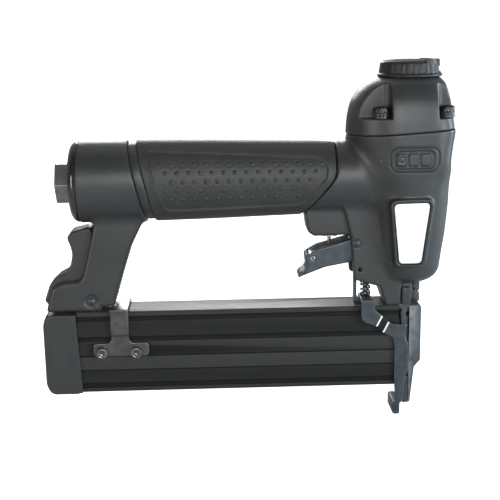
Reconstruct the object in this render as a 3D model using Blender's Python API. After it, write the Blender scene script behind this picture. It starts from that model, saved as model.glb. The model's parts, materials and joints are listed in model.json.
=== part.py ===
"""A small pneumatic brad nailer, built as separate pieces in one Blender scene.

Frame: +X towards the nose, +Z up, the tool's middle plane at Y = 0. The origin lies under the
middle of the tool, level with the bottom of the contact foot. Lengths here are millimetres and are
turned into metres when a mesh is made.
"""

import math

import bmesh
import bpy
from mathutils import Matrix, Vector

MM = 0.001
GAP = 0.3

# Driving dimensions
HALF_LENGTH = 118.3
DRIVE_X = 92.5
SEAM_Z = 166.0
HANDLE_Z = 140.5
TOP_Z = 205.7
NOSE_TIP_Z = 5.5

# Drive: cylinder sleeve, bumper, piston and blade
SLEEVE_R = 15.0
BORE_R = 13.2
SLEEVE_BOTTOM_Z = 88.3
SLEEVE_TOP_Z = 162.0
BUMPER_TOP_Z = 98.0
PISTON_STROKE = 49.0
PISTON_BOTTOM_Z = BUMPER_TOP_Z + PISTON_STROKE
PISTON_TOP_Z = PISTON_BOTTOM_Z + 12.0
BLADE_TIP_Z = NOSE_TIP_Z + GAP + PISTON_STROKE
AIR_SPACE_R = 19.5
HEAD_VALVE_R = 18.9
CAP_CEILING_Z = 184.0
CAP_TOP_Z = 196.4

# Handle, grip and rear cover
CORE_R = 16.5
AIR_CHAMBER_R = 12.5
COVER_R = 23.1
COVER_REAR_X = -94.0
COVER_FRONT = (-61.5, -0.22)
GRIP_REAR = (-56.4, -0.22)
GRIP_FRONT_X = 50.3
GRIP_SHOULDER_Z = 142.5
GRIP_FRONT_SLOPE = 0.86

# Trigger group
TRIGGER_PIN = (62.0, 103.8)
IDLER_PIN = (37.5, 94.7)
VALVE_X = 47.6
EAR_Y = 13.0
SLOT_Y = 8.5
TRIGGER_Y = 8.1

# Magazine and latch
MAGAZINE_Y = 10.5
MAGAZINE_Z = (17.8, 66.3)
MAGAZINE_X = (-99.0, 83.0)
CHANNEL_Y = 8.0
CHANNEL_Z = (20.6, 61.6)
SLIDER_Y = 7.6
SLIDER_Z = (21.0, 61.2)
ROD_Z = 57.4
LATCH_PIN = (-89.7, 72.9)
ARM_Y = 12.0
LATCH_Y = 8.0

# Fasteners
CAP_SCREWS = ((73.8, -20.0), (110.4, -20.0), (73.8, 20.0), (110.4, 20.0))
CAP_SCREW_SEAT_Z = 175.0
BRACKET_SCREWS = ((-84.8, 42.8), (-65.0, 42.8))

CASTING = ((0.045, 0.046, 0.047), 0.55, 0.3)
RUBBER = ((0.03, 0.03, 0.028), 0.8, 0.0)
DARK_STEEL = ((0.07, 0.075, 0.09), 0.4, 0.9)
BRIGHT_STEEL = ((0.5, 0.5, 0.5), 0.3, 1.0)
BLACK_STEEL = ((0.02, 0.02, 0.02), 0.3, 0.8)
BLACK_ALLOY = ((0.015, 0.015, 0.015), 0.35, 0.7)
BLACK_PLASTIC = ((0.02, 0.02, 0.02), 0.3, 0.0)
BRASS = ((0.6, 0.45, 0.2), 0.35, 1.0)
WHITE = ((0.8, 0.8, 0.78), 0.5, 0.0)


def clear_scene():
    for old in list(bpy.data.objects):
        bpy.data.objects.remove(old, do_unlink=True)


def material(name, look):
    colour, roughness, metallic = look
    made = bpy.data.materials.new(name)
    made.use_nodes = True
    shader = made.node_tree.nodes["Principled BSDF"]
    shader.inputs["Base Color"].default_value = (*colour, 1.0)
    shader.inputs["Roughness"].default_value = roughness
    shader.inputs["Metallic"].default_value = metallic
    return made


def object_from(name, mesh_maker, look=None, smooth=True):
    """An object whose mesh is made in millimetres. Without a look it is a hidden helper."""
    form = bmesh.new()
    mesh_maker(form)
    bmesh.ops.triangulate(form, faces=[face for face in form.faces if len(face.verts) == 4])
    bmesh.ops.recalc_face_normals(form, faces=form.faces)
    bmesh.ops.scale(form, vec=(MM, MM, MM), verts=form.verts)
    mesh = bpy.data.meshes.new(name)
    form.to_mesh(mesh)
    form.free()
    made = bpy.data.objects.new(name, mesh)
    bpy.context.scene.collection.objects.link(made)
    if smooth:
        mesh.shade_smooth()
        mesh.set_sharp_from_angle(angle=math.radians(32))
    if look is None:
        made.hide_render = True
        made.display_type = "WIRE"
    else:
        mesh.materials.append(material(name, look))
    return made


def boolean(target, other, operation):
    step = target.modifiers.new(other.name, "BOOLEAN")
    step.operation = operation
    step.object = other
    step.solver = "EXACT"


def cut(target, *cutters):
    for cutter in cutters:
        boolean(target, cutter, "DIFFERENCE")


def join(target, *others):
    for other in others:
        boolean(target, other, "UNION")


def skin(form, rings, closed=False, flat_ends=True):
    """Joins equal rings of points with side faces, and caps the two ends unless it is closed."""
    rows = [[form.verts.new(point) for point in ring] for ring in rings]
    pairs = list(zip(rows, rows[1:]))
    if closed:
        pairs.append((rows[-1], rows[0]))
    for low, high in pairs:
        for i in range(len(low)):
            j = (i + 1) % len(low)
            form.faces.new((low[i], low[j], high[j], high[i]))
    if closed:
        return
    for row in (rows[0], rows[-1]):
        if flat_ends:
            form.faces.new(row)
            continue
        middle = form.verts.new(sum((vert.co for vert in row), Vector()) / len(row))
        for here, there in zip(row, row[1:] + row[:1]):
            form.faces.new((middle, here, there))


def rounded(corners, steps=3):
    """Corner points (a, b) or (a, b, radius) as an outline whose given corners are arcs."""
    points = []
    count = len(corners)
    for i, corner in enumerate(corners):
        here = Vector(corner[:2])
        if len(corner) < 3:
            points.append(tuple(here))
            continue
        back = (Vector(corners[i - 1][:2]) - here).normalized()
        onward = (Vector(corners[(i + 1) % count][:2]) - here).normalized()
        half_angle = back.angle(onward) / 2
        reach = corner[2] / math.tan(half_angle)
        centre = here + (back + onward).normalized() * corner[2] / math.sin(half_angle)
        first = here + back * reach - centre
        turn = first.angle_signed(here + onward * reach - centre)
        for k in range(steps + 1):
            arm = Matrix.Rotation(-turn * k / steps, 2) @ first
            points.append(tuple(centre + arm))
    return points


def prism(name, corners, y_low, y_high, look=None):
    """An outline in X and Z, pushed from y_low to y_high."""
    outline = rounded(corners)

    def make(form):
        skin(form, [[(x, y, z) for x, z in outline] for y in (y_low, y_high)])

    return object_from(name, make, look, smooth=False)


def plan_prism(name, corners, z_low, z_high, look=None):
    """An outline in X and Y, pushed from z_low to z_high."""
    outline = rounded(corners)

    def make(form):
        skin(form, [[(x, y, z) for x, y in outline] for z in (z_low, z_high)])

    return object_from(name, make, look, smooth=False)


def box(name, low, high, look=None):
    corners = [(low[0], low[2]), (high[0], low[2]), (high[0], high[2]), (low[0], high[2])]
    return prism(name, corners, low[1], high[1], look)


def turned(name, profile, place, axis="Z", look=None, sides=20, ring=False, phase=0.5):
    """A profile of (radius, height) turned about an axis through place."""

    def make(form):
        rings = []
        for radius, height in profile:
            points = []
            for i in range(sides):
                angle = 2 * math.pi * (i + phase) / sides
                u, v = radius * math.cos(angle), radius * math.sin(angle)
                offset = {"X": (height, u, v), "Y": (u, height, v), "Z": (u, v, height)}[axis]
                points.append(tuple(a + b for a, b in zip(place, offset)))
            rings.append(points)
        skin(form, rings, closed=ring)

    return object_from(name, make, look)


def rod(name, radius, low, high, place, axis="Z", look=None, sides=12):
    return turned(name, [(radius, low), (radius, high)], place, axis, look, sides)


def o_ring(name, radius, thickness, height, place, axis="Z", look=RUBBER, sides=20):
    profile = [
        (
            radius + thickness * math.cos(math.radians(90 * k)),
            height + thickness * math.sin(math.radians(90 * k)),
        )
        for k in range(4)
    ]
    return turned(name, profile, place, axis, look, sides, ring=True)


def groove(name, inner, outer, height, half, place, axis="Z"):
    profile = [(inner, height - half), (outer, height - half), (outer, height + half)]
    profile.append((inner, height + half))
    return turned(name, profile, place, axis, ring=True)


def coil(name, radius, wire, low, high, turns, place, axis="Z", look=BRIGHT_STEEL):
    """A round-wire compression spring between two heights on its axis."""
    steps_per_turn = 7
    count = int(turns * steps_per_turn)

    def make(form):
        rings = []
        for i in range(count + 1):
            angle = 2 * math.pi * i / steps_per_turn
            along = low + (high - low) * i / count
            points = []
            for side in range(3):
                tilt = 2 * math.pi / 3 * side
                reach = radius + wire * math.cos(tilt)
                u, v = reach * math.cos(angle), reach * math.sin(angle)
                height = along + wire * math.sin(tilt)
                offset = {"X": (height, u, v), "Z": (u, v, height)}[axis]
                points.append(tuple(a + b for a, b in zip(place, offset)))
            rings.append(points)
        skin(form, rings)

    return object_from(name, make, look)


def hex_socket(name, across, low, high, place, axis="Z"):
    return turned(name, [(across / math.sqrt(3), low), (across / math.sqrt(3), high)], place, axis, sides=6)


def housing_ring(centre_x, half_x, half_y, z, power, count=28):
    """One level of the drive housing or its cap: an ellipse that squares off as power grows."""
    points = []
    for i in range(count):
        angle = 2 * math.pi * i / count
        c, s = math.cos(angle), math.sin(angle)
        x = centre_x + half_x * math.copysign(abs(c) ** (2 / power), c)
        y = half_y * math.copysign(abs(s) ** (2 / power), s)
        points.append((x, y, z))
    return points


def housing(name, levels, look=None):
    """A body lofted through levels of (z, centre x, half x, half y, power)."""

    def make(form):
        skin(form, [housing_ring(cx, hx, hy, z, power) for z, cx, hx, hy, power in levels])

    return object_from(name, make, look)


def slanted(line):
    """The end of a handle tube, as a function from height to X."""
    at_axis, slope = line
    return lambda z: at_axis + slope * (z - HANDLE_Z)


def grip_front(z):
    return GRIP_FRONT_X - max(0.0, GRIP_SHOULDER_Z - z) * GRIP_FRONT_SLOPE


def handle_tube(name, sections, look=None, ring=True, sides=24):
    """A tube along the handle through sections of (end, half y, half z), where end gives X."""

    def make(form):
        rings = []
        for end, half_y, half_z in sections:
            points = []
            for i in range(sides):
                angle = 2 * math.pi * (i + 0.5) / sides
                z = HANDLE_Z + half_z * math.sin(angle)
                points.append((end(z), half_y * math.cos(angle), z))
            rings.append(points)
        skin(form, rings, closed=ring, flat_ends=False)

    return object_from(name, make, look)


def flat(x):
    return lambda z: x


def shifted(end, distance):
    return lambda z: end(z) + distance


BODY_LEVELS = (
    (79.0, 92.5, 9.0, 8.5, 2.0),
    (82.0, 92.5, 15.2, 14.5, 2.0),
    (87.0, 93.0, 18.0, 18.4, 2.0),
    (96.0, 92.9, 19.3, 21.2, 2.0),
    (108.0, 92.9, 21.2, 23.4, 2.0),
    (125.6, 92.6, 22.7, 26.0, 2.1),
    (137.0, 92.4, 23.6, 27.3, 2.3),
    (143.0, 91.0, 26.0, 27.8, 3.0),
    (151.0, 90.0, 27.6, 28.0, 3.8),
    (160.0, 88.3, 29.5, 28.0, 4.4),
    (SEAM_Z - GAP, 87.9, HALF_LENGTH - 87.9, 28.0, 5.0),
)
CAP_LEVELS = (
    (SEAM_Z + GAP, 87.7, 30.0, 28.0, 5.0),
    (175.0, 87.6, 29.4, 27.6, 5.0),
    (182.5, 88.1, 28.3, 26.4, 4.6),
    (187.3, 88.6, 26.4, 24.4, 4.0),
    (191.6, 89.3, 23.6, 21.4, 3.2),
    (195.0, 91.0, 19.6, 18.8, 2.4),
    (CAP_TOP_Z, DRIVE_X, 17.6, 17.6, 2.0),
)


def make_body():
    drive = (DRIVE_X, 0, 0)
    body = housing("gun_body", BODY_LEVELS, CASTING)
    web_outline = [
        (52.0, 141.0),
        (50.0, 132.0),
        (54.6, 125.2, 6.0),
        (59.3, 106.1, 30.0),
        (60.6, 82.6, 1.5),
        (75.6, 78.1, 1.5),
        (79.4, 67.0, 1.0),
        (93.2, 67.0, 1.0),
        (95.0, 77.5),
        (103.8, 77.5, 1.5),
        (107.5, 84.0),
        (94.0, 100.0),
        (86.0, 152.0),
    ]
    web = prism("web", web_outline, -EAR_Y, EAR_Y)
    core_front = [(flat(-89.0), CORE_R, CORE_R), (flat(70.0), CORE_R, CORE_R)]
    core = handle_tube("handle_core", core_front, ring=False)
    cover_face = shifted(slanted(COVER_FRONT), GAP)
    grip_face = shifted(slanted(GRIP_REAR), -GAP)
    neck = handle_tube(
        "rear_neck", [(cover_face, 21.0, 21.8), (grip_face, 20.0, 21.8)], ring=False
    )
    front_face = shifted(grip_front, GAP)
    front_neck = handle_tube(
        "front_neck",
        [(front_face, 15.0, 15.0), (front_face, 18.0, 20.2), (flat(72.0), 19.5, 20.2)],
        ring=False,
    )
    boss_outline = [
        (33.4, 119.3),
        (34.5, 110.6, 2.0),
        (37.2, 107.9, 1.0),
        (60.5, 108.3),
        (60.5, 130.0),
        (40.7, 130.0),
    ]
    boss = prism("valve_boss", boss_outline, -10.0, 10.0)
    pad_outline = [(78.6, 132.4, 3), (101.6, 132.9, 3), (98.6, 92.0, 3), (82.9, 92.0, 3)]
    pad = label_plate("label_pad", pad_outline, -9.0, 1.0)
    join(body, web, core, neck, front_neck, boss, pad)

    cut(
        body,
        turned(
            "drive_space",
            [
                (6.0, 85.0),
                (6.0, 88.0),
                (SLEEVE_R + GAP, 88.0),
                (SLEEVE_R + GAP, 92.7),
                (17.0, 92.7),
                (17.0, 95.3),
                (SLEEVE_R + GAP, 95.3),
                (SLEEVE_R + GAP, 110.7),
                (17.0, 110.7),
                (17.0, 113.3),
                (SLEEVE_R + GAP, 113.3),
                (SLEEVE_R + GAP, 118.0),
                (AIR_SPACE_R, 119.0),
                (AIR_SPACE_R, 170.0),
            ],
            drive,
        ),
        box("blade_slot", (DRIVE_X - 1.2, -2.2, 60.0), (DRIVE_X + 1.2, 2.2, 86.0)),
        rod("air_chamber", AIR_CHAMBER_R, -95.0, 78.0, (0, 0, HANDLE_Z), "X"),
        rod("valve_bore", 5.3, 100.0, 130.0, (VALVE_X, 0, 0)),
        box("trigger_slot", (45.0, -SLOT_Y, 70.0), (65.8, SLOT_Y, 108.1)),
        rod("trigger_pin_hole", 2.3, -20, 20, (TRIGGER_PIN[0], 0, TRIGGER_PIN[1]), "Y", sides=12),
        rod("drain_hole", 1.1, -20, -5, (64.0, 0, 88.5), "Y", sides=10),
        rod("spring_rod_hole", 2.1, 60, 91.0, (68.9, 0, 0), sides=10),
        groove("cover_ring_groove", 14.6, 18.0, -80.0, 1.3, (0, 0, HANDLE_Z), "X"),
    )
    for number, (x, y) in enumerate(CAP_SCREWS):
        cut(body, rod(f"cap_screw_hole_{number}", 2.8, 151.0, 170.0, (x, y, 0), sides=10))
    for number, y in enumerate((-5.6, 5.6)):
        cut(body, rod(f"nose_screw_hole_{number}", 1.8, 60.0, 86.0, (86.0, y, 0), sides=12))
    cut(body, label_plate("label_recess", rounded_label(0.9), 0.0, 3.0))


def label_plate(name, corners, inward, outward, look=None):
    """A flat plate that leans with the front of the housing, its thickness along its own normal."""
    outline = rounded(corners)
    low, high = Vector((-21.2, 94.0)), Vector((-26.6, 130.0))
    lean = (high - low).normalized()
    normal = Vector((-lean.y, lean.x))

    def make(form):
        rings = []
        for depth in (inward, outward):
            points = []
            for x, z in outline:
                y = low.x + (z - low.y) * (high.x - low.x) / (high.y - low.y)
                points.append((x, y + normal.x * depth, z + normal.y * depth))
            rings.append(points)
        skin(form, rings)

    return object_from(name, make, look, smooth=False)


def rounded_label(margin):
    return [
        (79.8 - margin, 130.3 + margin, 2.0),
        (100.4 + margin, 130.8 + margin, 2.0),
        (97.3 + margin, 94.0 - margin, 2.0),
        (84.3 - margin, 94.0 - margin, 2.0),
    ]


def make_cap():
    drive = (DRIVE_X, 0, 0)
    cap = housing("cylinder_cap", CAP_LEVELS, CASTING)
    cut(cap, rod("valve_space", HEAD_VALVE_R + 0.4, 160.0, CAP_CEILING_Z, drive, sides=24))
    cut(cap, rod("cap_centre_hole", 2.3, 160.0, 200.0, drive, sides=12))
    for number in range(3):
        angle = 2 * math.pi * (number + 0.25) / 3
        place = (DRIVE_X + 9.5 * math.cos(angle), 9.5 * math.sin(angle), 0)
        cut(cap, rod(f"exhaust_port_{number}", 3.2, 180.0, 200.0, place, sides=10))
    for number, (x, y) in enumerate(CAP_SCREWS):
        cut(cap, rod(f"cap_hole_{number}", 2.8, 160.0, 180.0, (x, y, 0), sides=10))
        out_x = -1 if x < DRIVE_X else 1
        out_y = math.copysign(1, y)
        near_x, far_x = sorted((x - out_x * 5.2, x + out_x * 20.0))
        near_y, far_y = sorted((y - out_y * 5.2, y + out_y * 20.0))
        corners = [(near_x, near_y), (far_x, near_y), (far_x, far_y), (near_x, far_y)]
        inner = corners.index((near_x if out_x > 0 else far_x, near_y if out_y > 0 else far_y))
        corners[inner] = (*corners[inner], 4.5)
        cut(cap, plan_prism(f"screw_pocket_{number}", corners, CAP_SCREW_SEAT_Z, 200.0))
    for number, (x, y) in enumerate(CAP_SCREWS):
        head = CAP_SCREW_SEAT_Z + GAP
        screw = turned(
            f"cap_screw_{number + 1}",
            [(2.5, 152.0), (2.5, head), (4.25, head), (4.25, head + 5.6), (3.9, head + 6.0)],
            (x, y, 0),
            look=BLACK_STEEL,
            sides=12,
        )
        cut(screw, hex_socket(f"cap_socket_{number}", 4.0, head + 3.0, head + 8.0, (x, y, 0)))


def make_deflector():
    axis = (DRIVE_X, 0, 0)
    foot = CAP_TOP_Z + GAP
    deflector = turned(
        "deflector",
        [
            (14.3, foot),
            (18.0, foot),
            (18.0, foot + 1.6),
            (17.3, foot + 2.0),
            (16.3, 204.0),
            (15.4, 205.2),
            (13.0, TOP_Z),
            (2.4, TOP_Z),
            (2.4, 202.4),
            (14.0, 202.4),
        ],
        axis,
        look=BLACK_PLASTIC,
        sides=24,
        ring=True,
    )
    cut(deflector, box("exhaust_slot", (105.0, -8.0, foot + 2.6), (116.0, 8.0, 202.0)))
    screw = turned(
        "deflector_screw",
        [(2.0, 178.0), (2.0, 198.0), (2.0, TOP_Z - 2.6), (2.0, TOP_Z - 0.4), (1.6, TOP_Z - 0.2)],
        axis,
        look=BLACK_STEEL,
        sides=10,
    )
    cut(screw, hex_socket("deflector_socket", 2.2, TOP_Z - 2.0, TOP_Z + 1.0, axis))


def make_drive():
    axis = (DRIVE_X, 0, 0)
    turned(
        "cylinder_sleeve",
        [
            (BORE_R, SLEEVE_BOTTOM_Z),
            (SLEEVE_R, SLEEVE_BOTTOM_Z),
            (SLEEVE_R, SLEEVE_TOP_Z),
            (BORE_R, SLEEVE_TOP_Z),
        ],
        axis,
        look=BRIGHT_STEEL,
        sides=24,
        ring=True,
    )
    o_ring("sleeve_lower_ring", 16.15, 0.8, 94.0, axis)
    o_ring("sleeve_upper_ring", 16.15, 0.8, 112.0, axis)
    bumper_profile = [(5.6, 88.4), (12.6, 88.4), (12.9, 93.0), (11.5, 97.7), (6.5, 97.7)]
    turned("bumper", bumper_profile, axis, look=RUBBER, ring=True)
    piston = turned(
        "piston",
        [
            (4.0, PISTON_BOTTOM_Z),
            (10.5, PISTON_BOTTOM_Z),
            (12.9, PISTON_BOTTOM_Z + 2.0),
            (12.9, PISTON_BOTTOM_Z + 4.6),
            (11.0, PISTON_BOTTOM_Z + 4.6),
            (11.0, PISTON_BOTTOM_Z + 7.2),
            (12.9, PISTON_BOTTOM_Z + 7.2),
            (12.9, PISTON_TOP_Z),
            (9.0, PISTON_TOP_Z),
            (8.0, PISTON_TOP_Z - 2.0),
        ],
        axis,
        look=BRIGHT_STEEL,
        sides=24,
    )
    cut(piston, rod("blade_socket", 2.8, 140.0, PISTON_BOTTOM_Z + 8.0, axis, sides=12))
    o_ring("piston_ring", 12.15, 0.75, PISTON_BOTTOM_Z + 5.9, axis)
    blade = box(
        "driver_blade",
        (DRIVE_X - 0.7, -1.6, BLADE_TIP_Z),
        (DRIVE_X + 0.7, 1.6, PISTON_BOTTOM_Z + 3.0),
        DARK_STEEL,
    )
    join(blade, rod("blade_head", 2.5, 146.0, PISTON_BOTTOM_Z + 7.7, axis, sides=10))
    turned(
        "head_valve",
        [
            (6.5, 162.3),
            (16.5, 162.3),
            (HEAD_VALVE_R, 164.0),
            (HEAD_VALVE_R, 166.6),
            (17.0, 166.6),
            (17.0, 169.0),
            (HEAD_VALVE_R, 169.0),
            (HEAD_VALVE_R, 171.0),
            (12.0, 171.0),
            (10.0, 174.0),
            (6.5, 174.0),
        ],
        axis,
        look=BLACK_PLASTIC,
        sides=24,
        ring=True,
    )
    o_ring("head_valve_ring", 18.1, 0.75, 167.8, axis)
    coil("head_valve_spring", 14.6, 0.7, 172.1, CAP_CEILING_Z - 1.1, 3, axis)
    exhaust_profile = [(2.4, 177.6), (5.8, 177.6), (5.8, 183.7), (2.4, 183.7)]
    turned("exhaust_seal", exhaust_profile, axis, look=RUBBER, sides=20, ring=True)
    turned(
        "cap_gasket",
        [(20.4, SEAM_Z - 0.15), (23.3, SEAM_Z - 0.15), (23.3, SEAM_Z + 0.15), (20.4, SEAM_Z + 0.15)],
        axis,
        look=RUBBER,
        sides=24,
        ring=True,
    )


def make_rear_cover():
    face = slanted(COVER_FRONT)
    cover = handle_tube(
        "rear_cover",
        [
            (flat(COVER_REAR_X), 7.0, 7.0),
            (flat(COVER_REAR_X), 21.8, 21.8),
            (flat(COVER_REAR_X + 1.5), COVER_R, COVER_R),
            (face, COVER_R - 0.6, COVER_R),
            (face, CORE_R + GAP, CORE_R + GAP),
            (flat(COVER_REAR_X + 3.5), CORE_R + GAP, CORE_R + GAP),
            (flat(COVER_REAR_X + 3.5), 7.0, 7.0),
        ],
        CASTING,
    )
    arm_outline = [
        (-86.0, 122.5),
        (-87.3, 113.8),
        (-90.8, 100.6, 30.0),
        (-94.8, 85.2, 4.0),
        (-105.8, 84.5, 8.0),
        (-112.4, 81.0, 6.0),
        (-115.8, 66.9, 1.0),
        (-84.6, 66.9),
        (-83.3, 69.4),
        (-77.0, 70.0, 1.5),
        (-72.3, 85.5),
        (-66.3, 103.5, 40.0),
        (-60.0, 116.0, 6.0),
        (-58.8, 122.5),
    ]
    arm = prism("arm", arm_outline, -ARM_Y, ARM_Y)
    join(cover, arm)
    lever_space = [
        (-130.0, 60.0),
        (-80.6, 60.0),
        (-80.6, 76.0, 4.0),
        (-75.5, 100.0, 30.0),
        (-76.0, 116.6),
        (-130.0, 116.6),
    ]
    cut(
        cover,
        prism("lever_space", lever_space, -LATCH_Y - 0.4, LATCH_Y + 0.4),
        rod("latch_pin_hole", 1.8, -20, 20, (LATCH_PIN[0], 0, LATCH_PIN[1]), "Y", sides=10),
    )
    axis = (0, 0, HANDLE_Z)
    turned(
        "rear_end_ring",
        [
            (7.0, -94.3),
            (22.2, -94.3),
            (22.6, -95.6),
            (21.8, -97.8),
            (19.6, -98.8),
            (7.0, -98.8),
        ],
        axis,
        "X",
        BLACK_PLASTIC,
        sides=24,
        ring=True,
    )
    o_ring("rear_cover_ring", 15.7, 0.8, -80.0, axis, "X", sides=24)
    fitting = turned(
        "inlet_fitting",
        [(6.4, -86.5), (6.4, -99.1), (8.6, -99.1), (8.6, -103.0)],
        axis,
        "X",
        DARK_STEEL,
        sides=24,
    )
    hex_profile = [(12.7, -99.4), (12.7, -106.0), (11.6, -107.0)]
    hexagon = turned("inlet_hex", hex_profile, axis, "X", sides=6, phase=0.0)
    join(fitting, hexagon)
    cut(fitting, rod("inlet_bore", 4.6, -110.0, -80.0, axis, "X", sides=20))
    nipple = turned("inlet_mouth", [(6.0, -111.0), (6.0, -104.0)], axis, "X", sides=20)
    cut(fitting, nipple)


def make_grip():
    rear = slanted(GRIP_REAR)
    handle_tube(
        "grip_sleeve",
        [
            (rear, CORE_R + GAP, CORE_R + GAP),
            (rear, 19.2, 22.2),
            (shifted(rear, 1.5), 20.0, 23.0),
            (flat(-20.0), 19.2, 22.4),
            (shifted(grip_front, -8.0), 18.2, 20.9),
            (shifted(grip_front, -1.5), 18.0, 20.5),
            (grip_front, 17.4, 19.8),
            (grip_front, CORE_R + GAP, CORE_R + GAP),
        ],
        RUBBER,
    )


def make_trigger():
    outline = [
        (28.0, 82.0, 0.6),
        (30.2, 85.6, 3.0),
        (34.0, 88.6, 1.5),
        (33.2, 96.0, 2.0),
        (40.5, 100.2, 8.0),
        (58.5, 105.2, 4.0),
        (61.0, 107.4, 2.5),
        (65.4, 106.8, 2.5),
        (65.4, 94.0, 3.0),
        (59.5, 91.9, 6.0),
        (44.5, 89.2, 20.0),
        (34.5, 85.4, 8.0),
    ]
    trigger = prism("trigger", outline, -TRIGGER_Y, TRIGGER_Y, DARK_STEEL)
    channel = [
        (34.6, 120.0),
        (34.6, 90.2),
        (44.5, 91.2),
        (57.0, 93.6),
        (57.0, 80.0),
        (80.0, 80.0),
        (80.0, 120.0),
    ]
    place = (TRIGGER_PIN[0], 0, TRIGGER_PIN[1])
    idler_place = (IDLER_PIN[0], 0, IDLER_PIN[1])
    cut(
        trigger,
        prism("trigger_channel", channel, -6.6, 6.6),
        rod("trigger_eye", 2.3, -20, 20, place, "Y", sides=12),
        rod("idler_eye", 1.4, -20, 20, idler_place, "Y", sides=12),
    )
    rod("trigger_pin", 2.0, -EAR_Y, EAR_Y, place, "Y", BLACK_STEEL, sides=12)
    rod("idler_pin", 1.1, -TRIGGER_Y, TRIGGER_Y, idler_place, "Y", BRIGHT_STEEL, sides=12)
    x, _, z = idler_place
    idler_outline = [
        (x - 2.2, z - 2.0, 1.5),
        (x + 8.0, z - 1.6),
        (63.2, z - 0.6),
        (63.2, z + 0.3),
        (x + 13.0, z + 1.2),
        (x + 10.0, z + 1.8, 2.0),
        (x + 5.0, z + 1.4),
        (x - 2.2, z + 2.2, 1.5),
    ]
    idler = prism("trigger_idler", idler_outline, -5.6, 5.6, BRIGHT_STEEL)
    cut(idler, rod("idler_bore", 1.4, -20, 20, idler_place, "Y", sides=12))

    axis = (VALVE_X, 0, 0)
    turned(
        "valve_bushing",
        [
            (1.4, 106.6),
            (5.0, 106.6),
            (5.0, 124.0),
            (3.4, 124.0),
            (3.4, 112.0),
            (1.4, 112.0),
        ],
        axis,
        look=BRASS,
        sides=20,
        ring=True,
    )
    turned(
        "valve_cap",
        [(1.4, 124.3), (5.0, 124.3), (5.0, 126.0), (1.4, 126.0)],
        axis,
        look=BRASS,
        sides=20,
        ring=True,
    )
    turned(
        "valve_stem",
        [(0.7, 101.6), (1.0, 102.2), (1.0, 112.3), (2.9, 112.3), (2.9, 115.2), (1.0, 115.2), (1.0, 117.0)],
        axis,
        look=BRIGHT_STEEL,
        sides=10,
    )
    coil("valve_spring", 2.3, 0.25, 115.8, 123.6, 5, axis)


def bent_plate(form, panels, thickness):
    """A folded sheet: panels are lists of (x, y, z) that share their fold lines."""
    front, back = {}, {}
    for store, offset in ((front, 0.0), (back, thickness)):
        for panel in panels:
            for x, y, z in panel:
                store.setdefault((x, y, z), None)
        for x, y, z in list(store):
            store[(x, y, z)] = form.verts.new((x, y + offset, z))
    edges = {}
    for panel in panels:
        form.faces.new([front[point] for point in panel])
        form.faces.new([back[point] for point in reversed(panel)])
        for here, there in zip(panel, panel[1:] + panel[:1]):
            key = tuple(sorted((here, there)))
            edges[key] = edges.get(key, 0) + 1
    for (here, there), uses in edges.items():
        if uses == 1:
            form.faces.new((front[here], front[there], back[there], back[here]))


def make_contact_arm():
    high, low = -14.9, -12.9
    fold_top = [(73.7, high, 55.1), (76.8, high, 61.1)]
    fold_low = [(77.6, low, 50.8), (81.3, low, 56.7)]
    upper = [
        (64.7, high, 60.2),
        (66.5, high, 57.7),
        *fold_top,
        (75.7, high, 61.7),
        (72.7, high, 64.8),
        (72.1, high, 70.8),
        (64.6, high, 70.9),
    ]
    joggle = [fold_top[0], *fold_low, fold_top[1]]
    lower = [
        fold_low[0],
        (83.4, low, 47.6),
        (84.7, low, 43.3),
        (84.7, low, 24.3),
        (85.2, low, 18.4),
        (87.6, low, 8.1),
        (90.6, low, 6.8),
        (92.3, low, 11.8),
        (91.5, low, 23.5),
        (93.2, low, 26.5),
        (92.8, low, 44.9),
        (91.7, low, 55.3),
        (83.9, low, 55.5),
        fold_low[1],
    ]
    arm = object_from(
        "contact_arm", lambda form: bent_plate(form, [upper, joggle, lower], 1.5), DARK_STEEL, False
    )
    foot = [(84.0, 0.8, 0.8), (84.0, 9.6, 1.0), (88.3, 9.6, 1.0), (88.3, 0.0, 0.8), (85.2, 0.0, 0.6)]
    join(
        arm,
        prism("contact_foot", foot, low + 0.2, 5.0),
        box("contact_leg", (85.4, low + 0.2, 6.0), (88.1, low + 2.2, 14.0)),
        box("spring_ledge", (64.9, high + 0.2, 68.6), (71.8, 3.4, 70.5)),
        rod("spring_rod", 1.5, 69.5, 80.0, (68.9, 0, 0), sides=12),
    )
    upper_outline = [(61.9, 67.0), (64.5, 67.0), (64.5, 69.0), (63.5, 70.0), (63.5, 93.8), (61.9, 93.8)]
    safety_arm = prism("safety_upper_arm", upper_outline, -2.6, 2.6, DARK_STEEL)
    join(safety_arm, box("safety_arm_foot", (63.0, -2.4, 66.7), (71.4, 2.4, 68.2)))
    coil("safety_spring", 2.5, 0.45, 71.2, 78.0, 4, (68.9, 0, 0))


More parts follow.
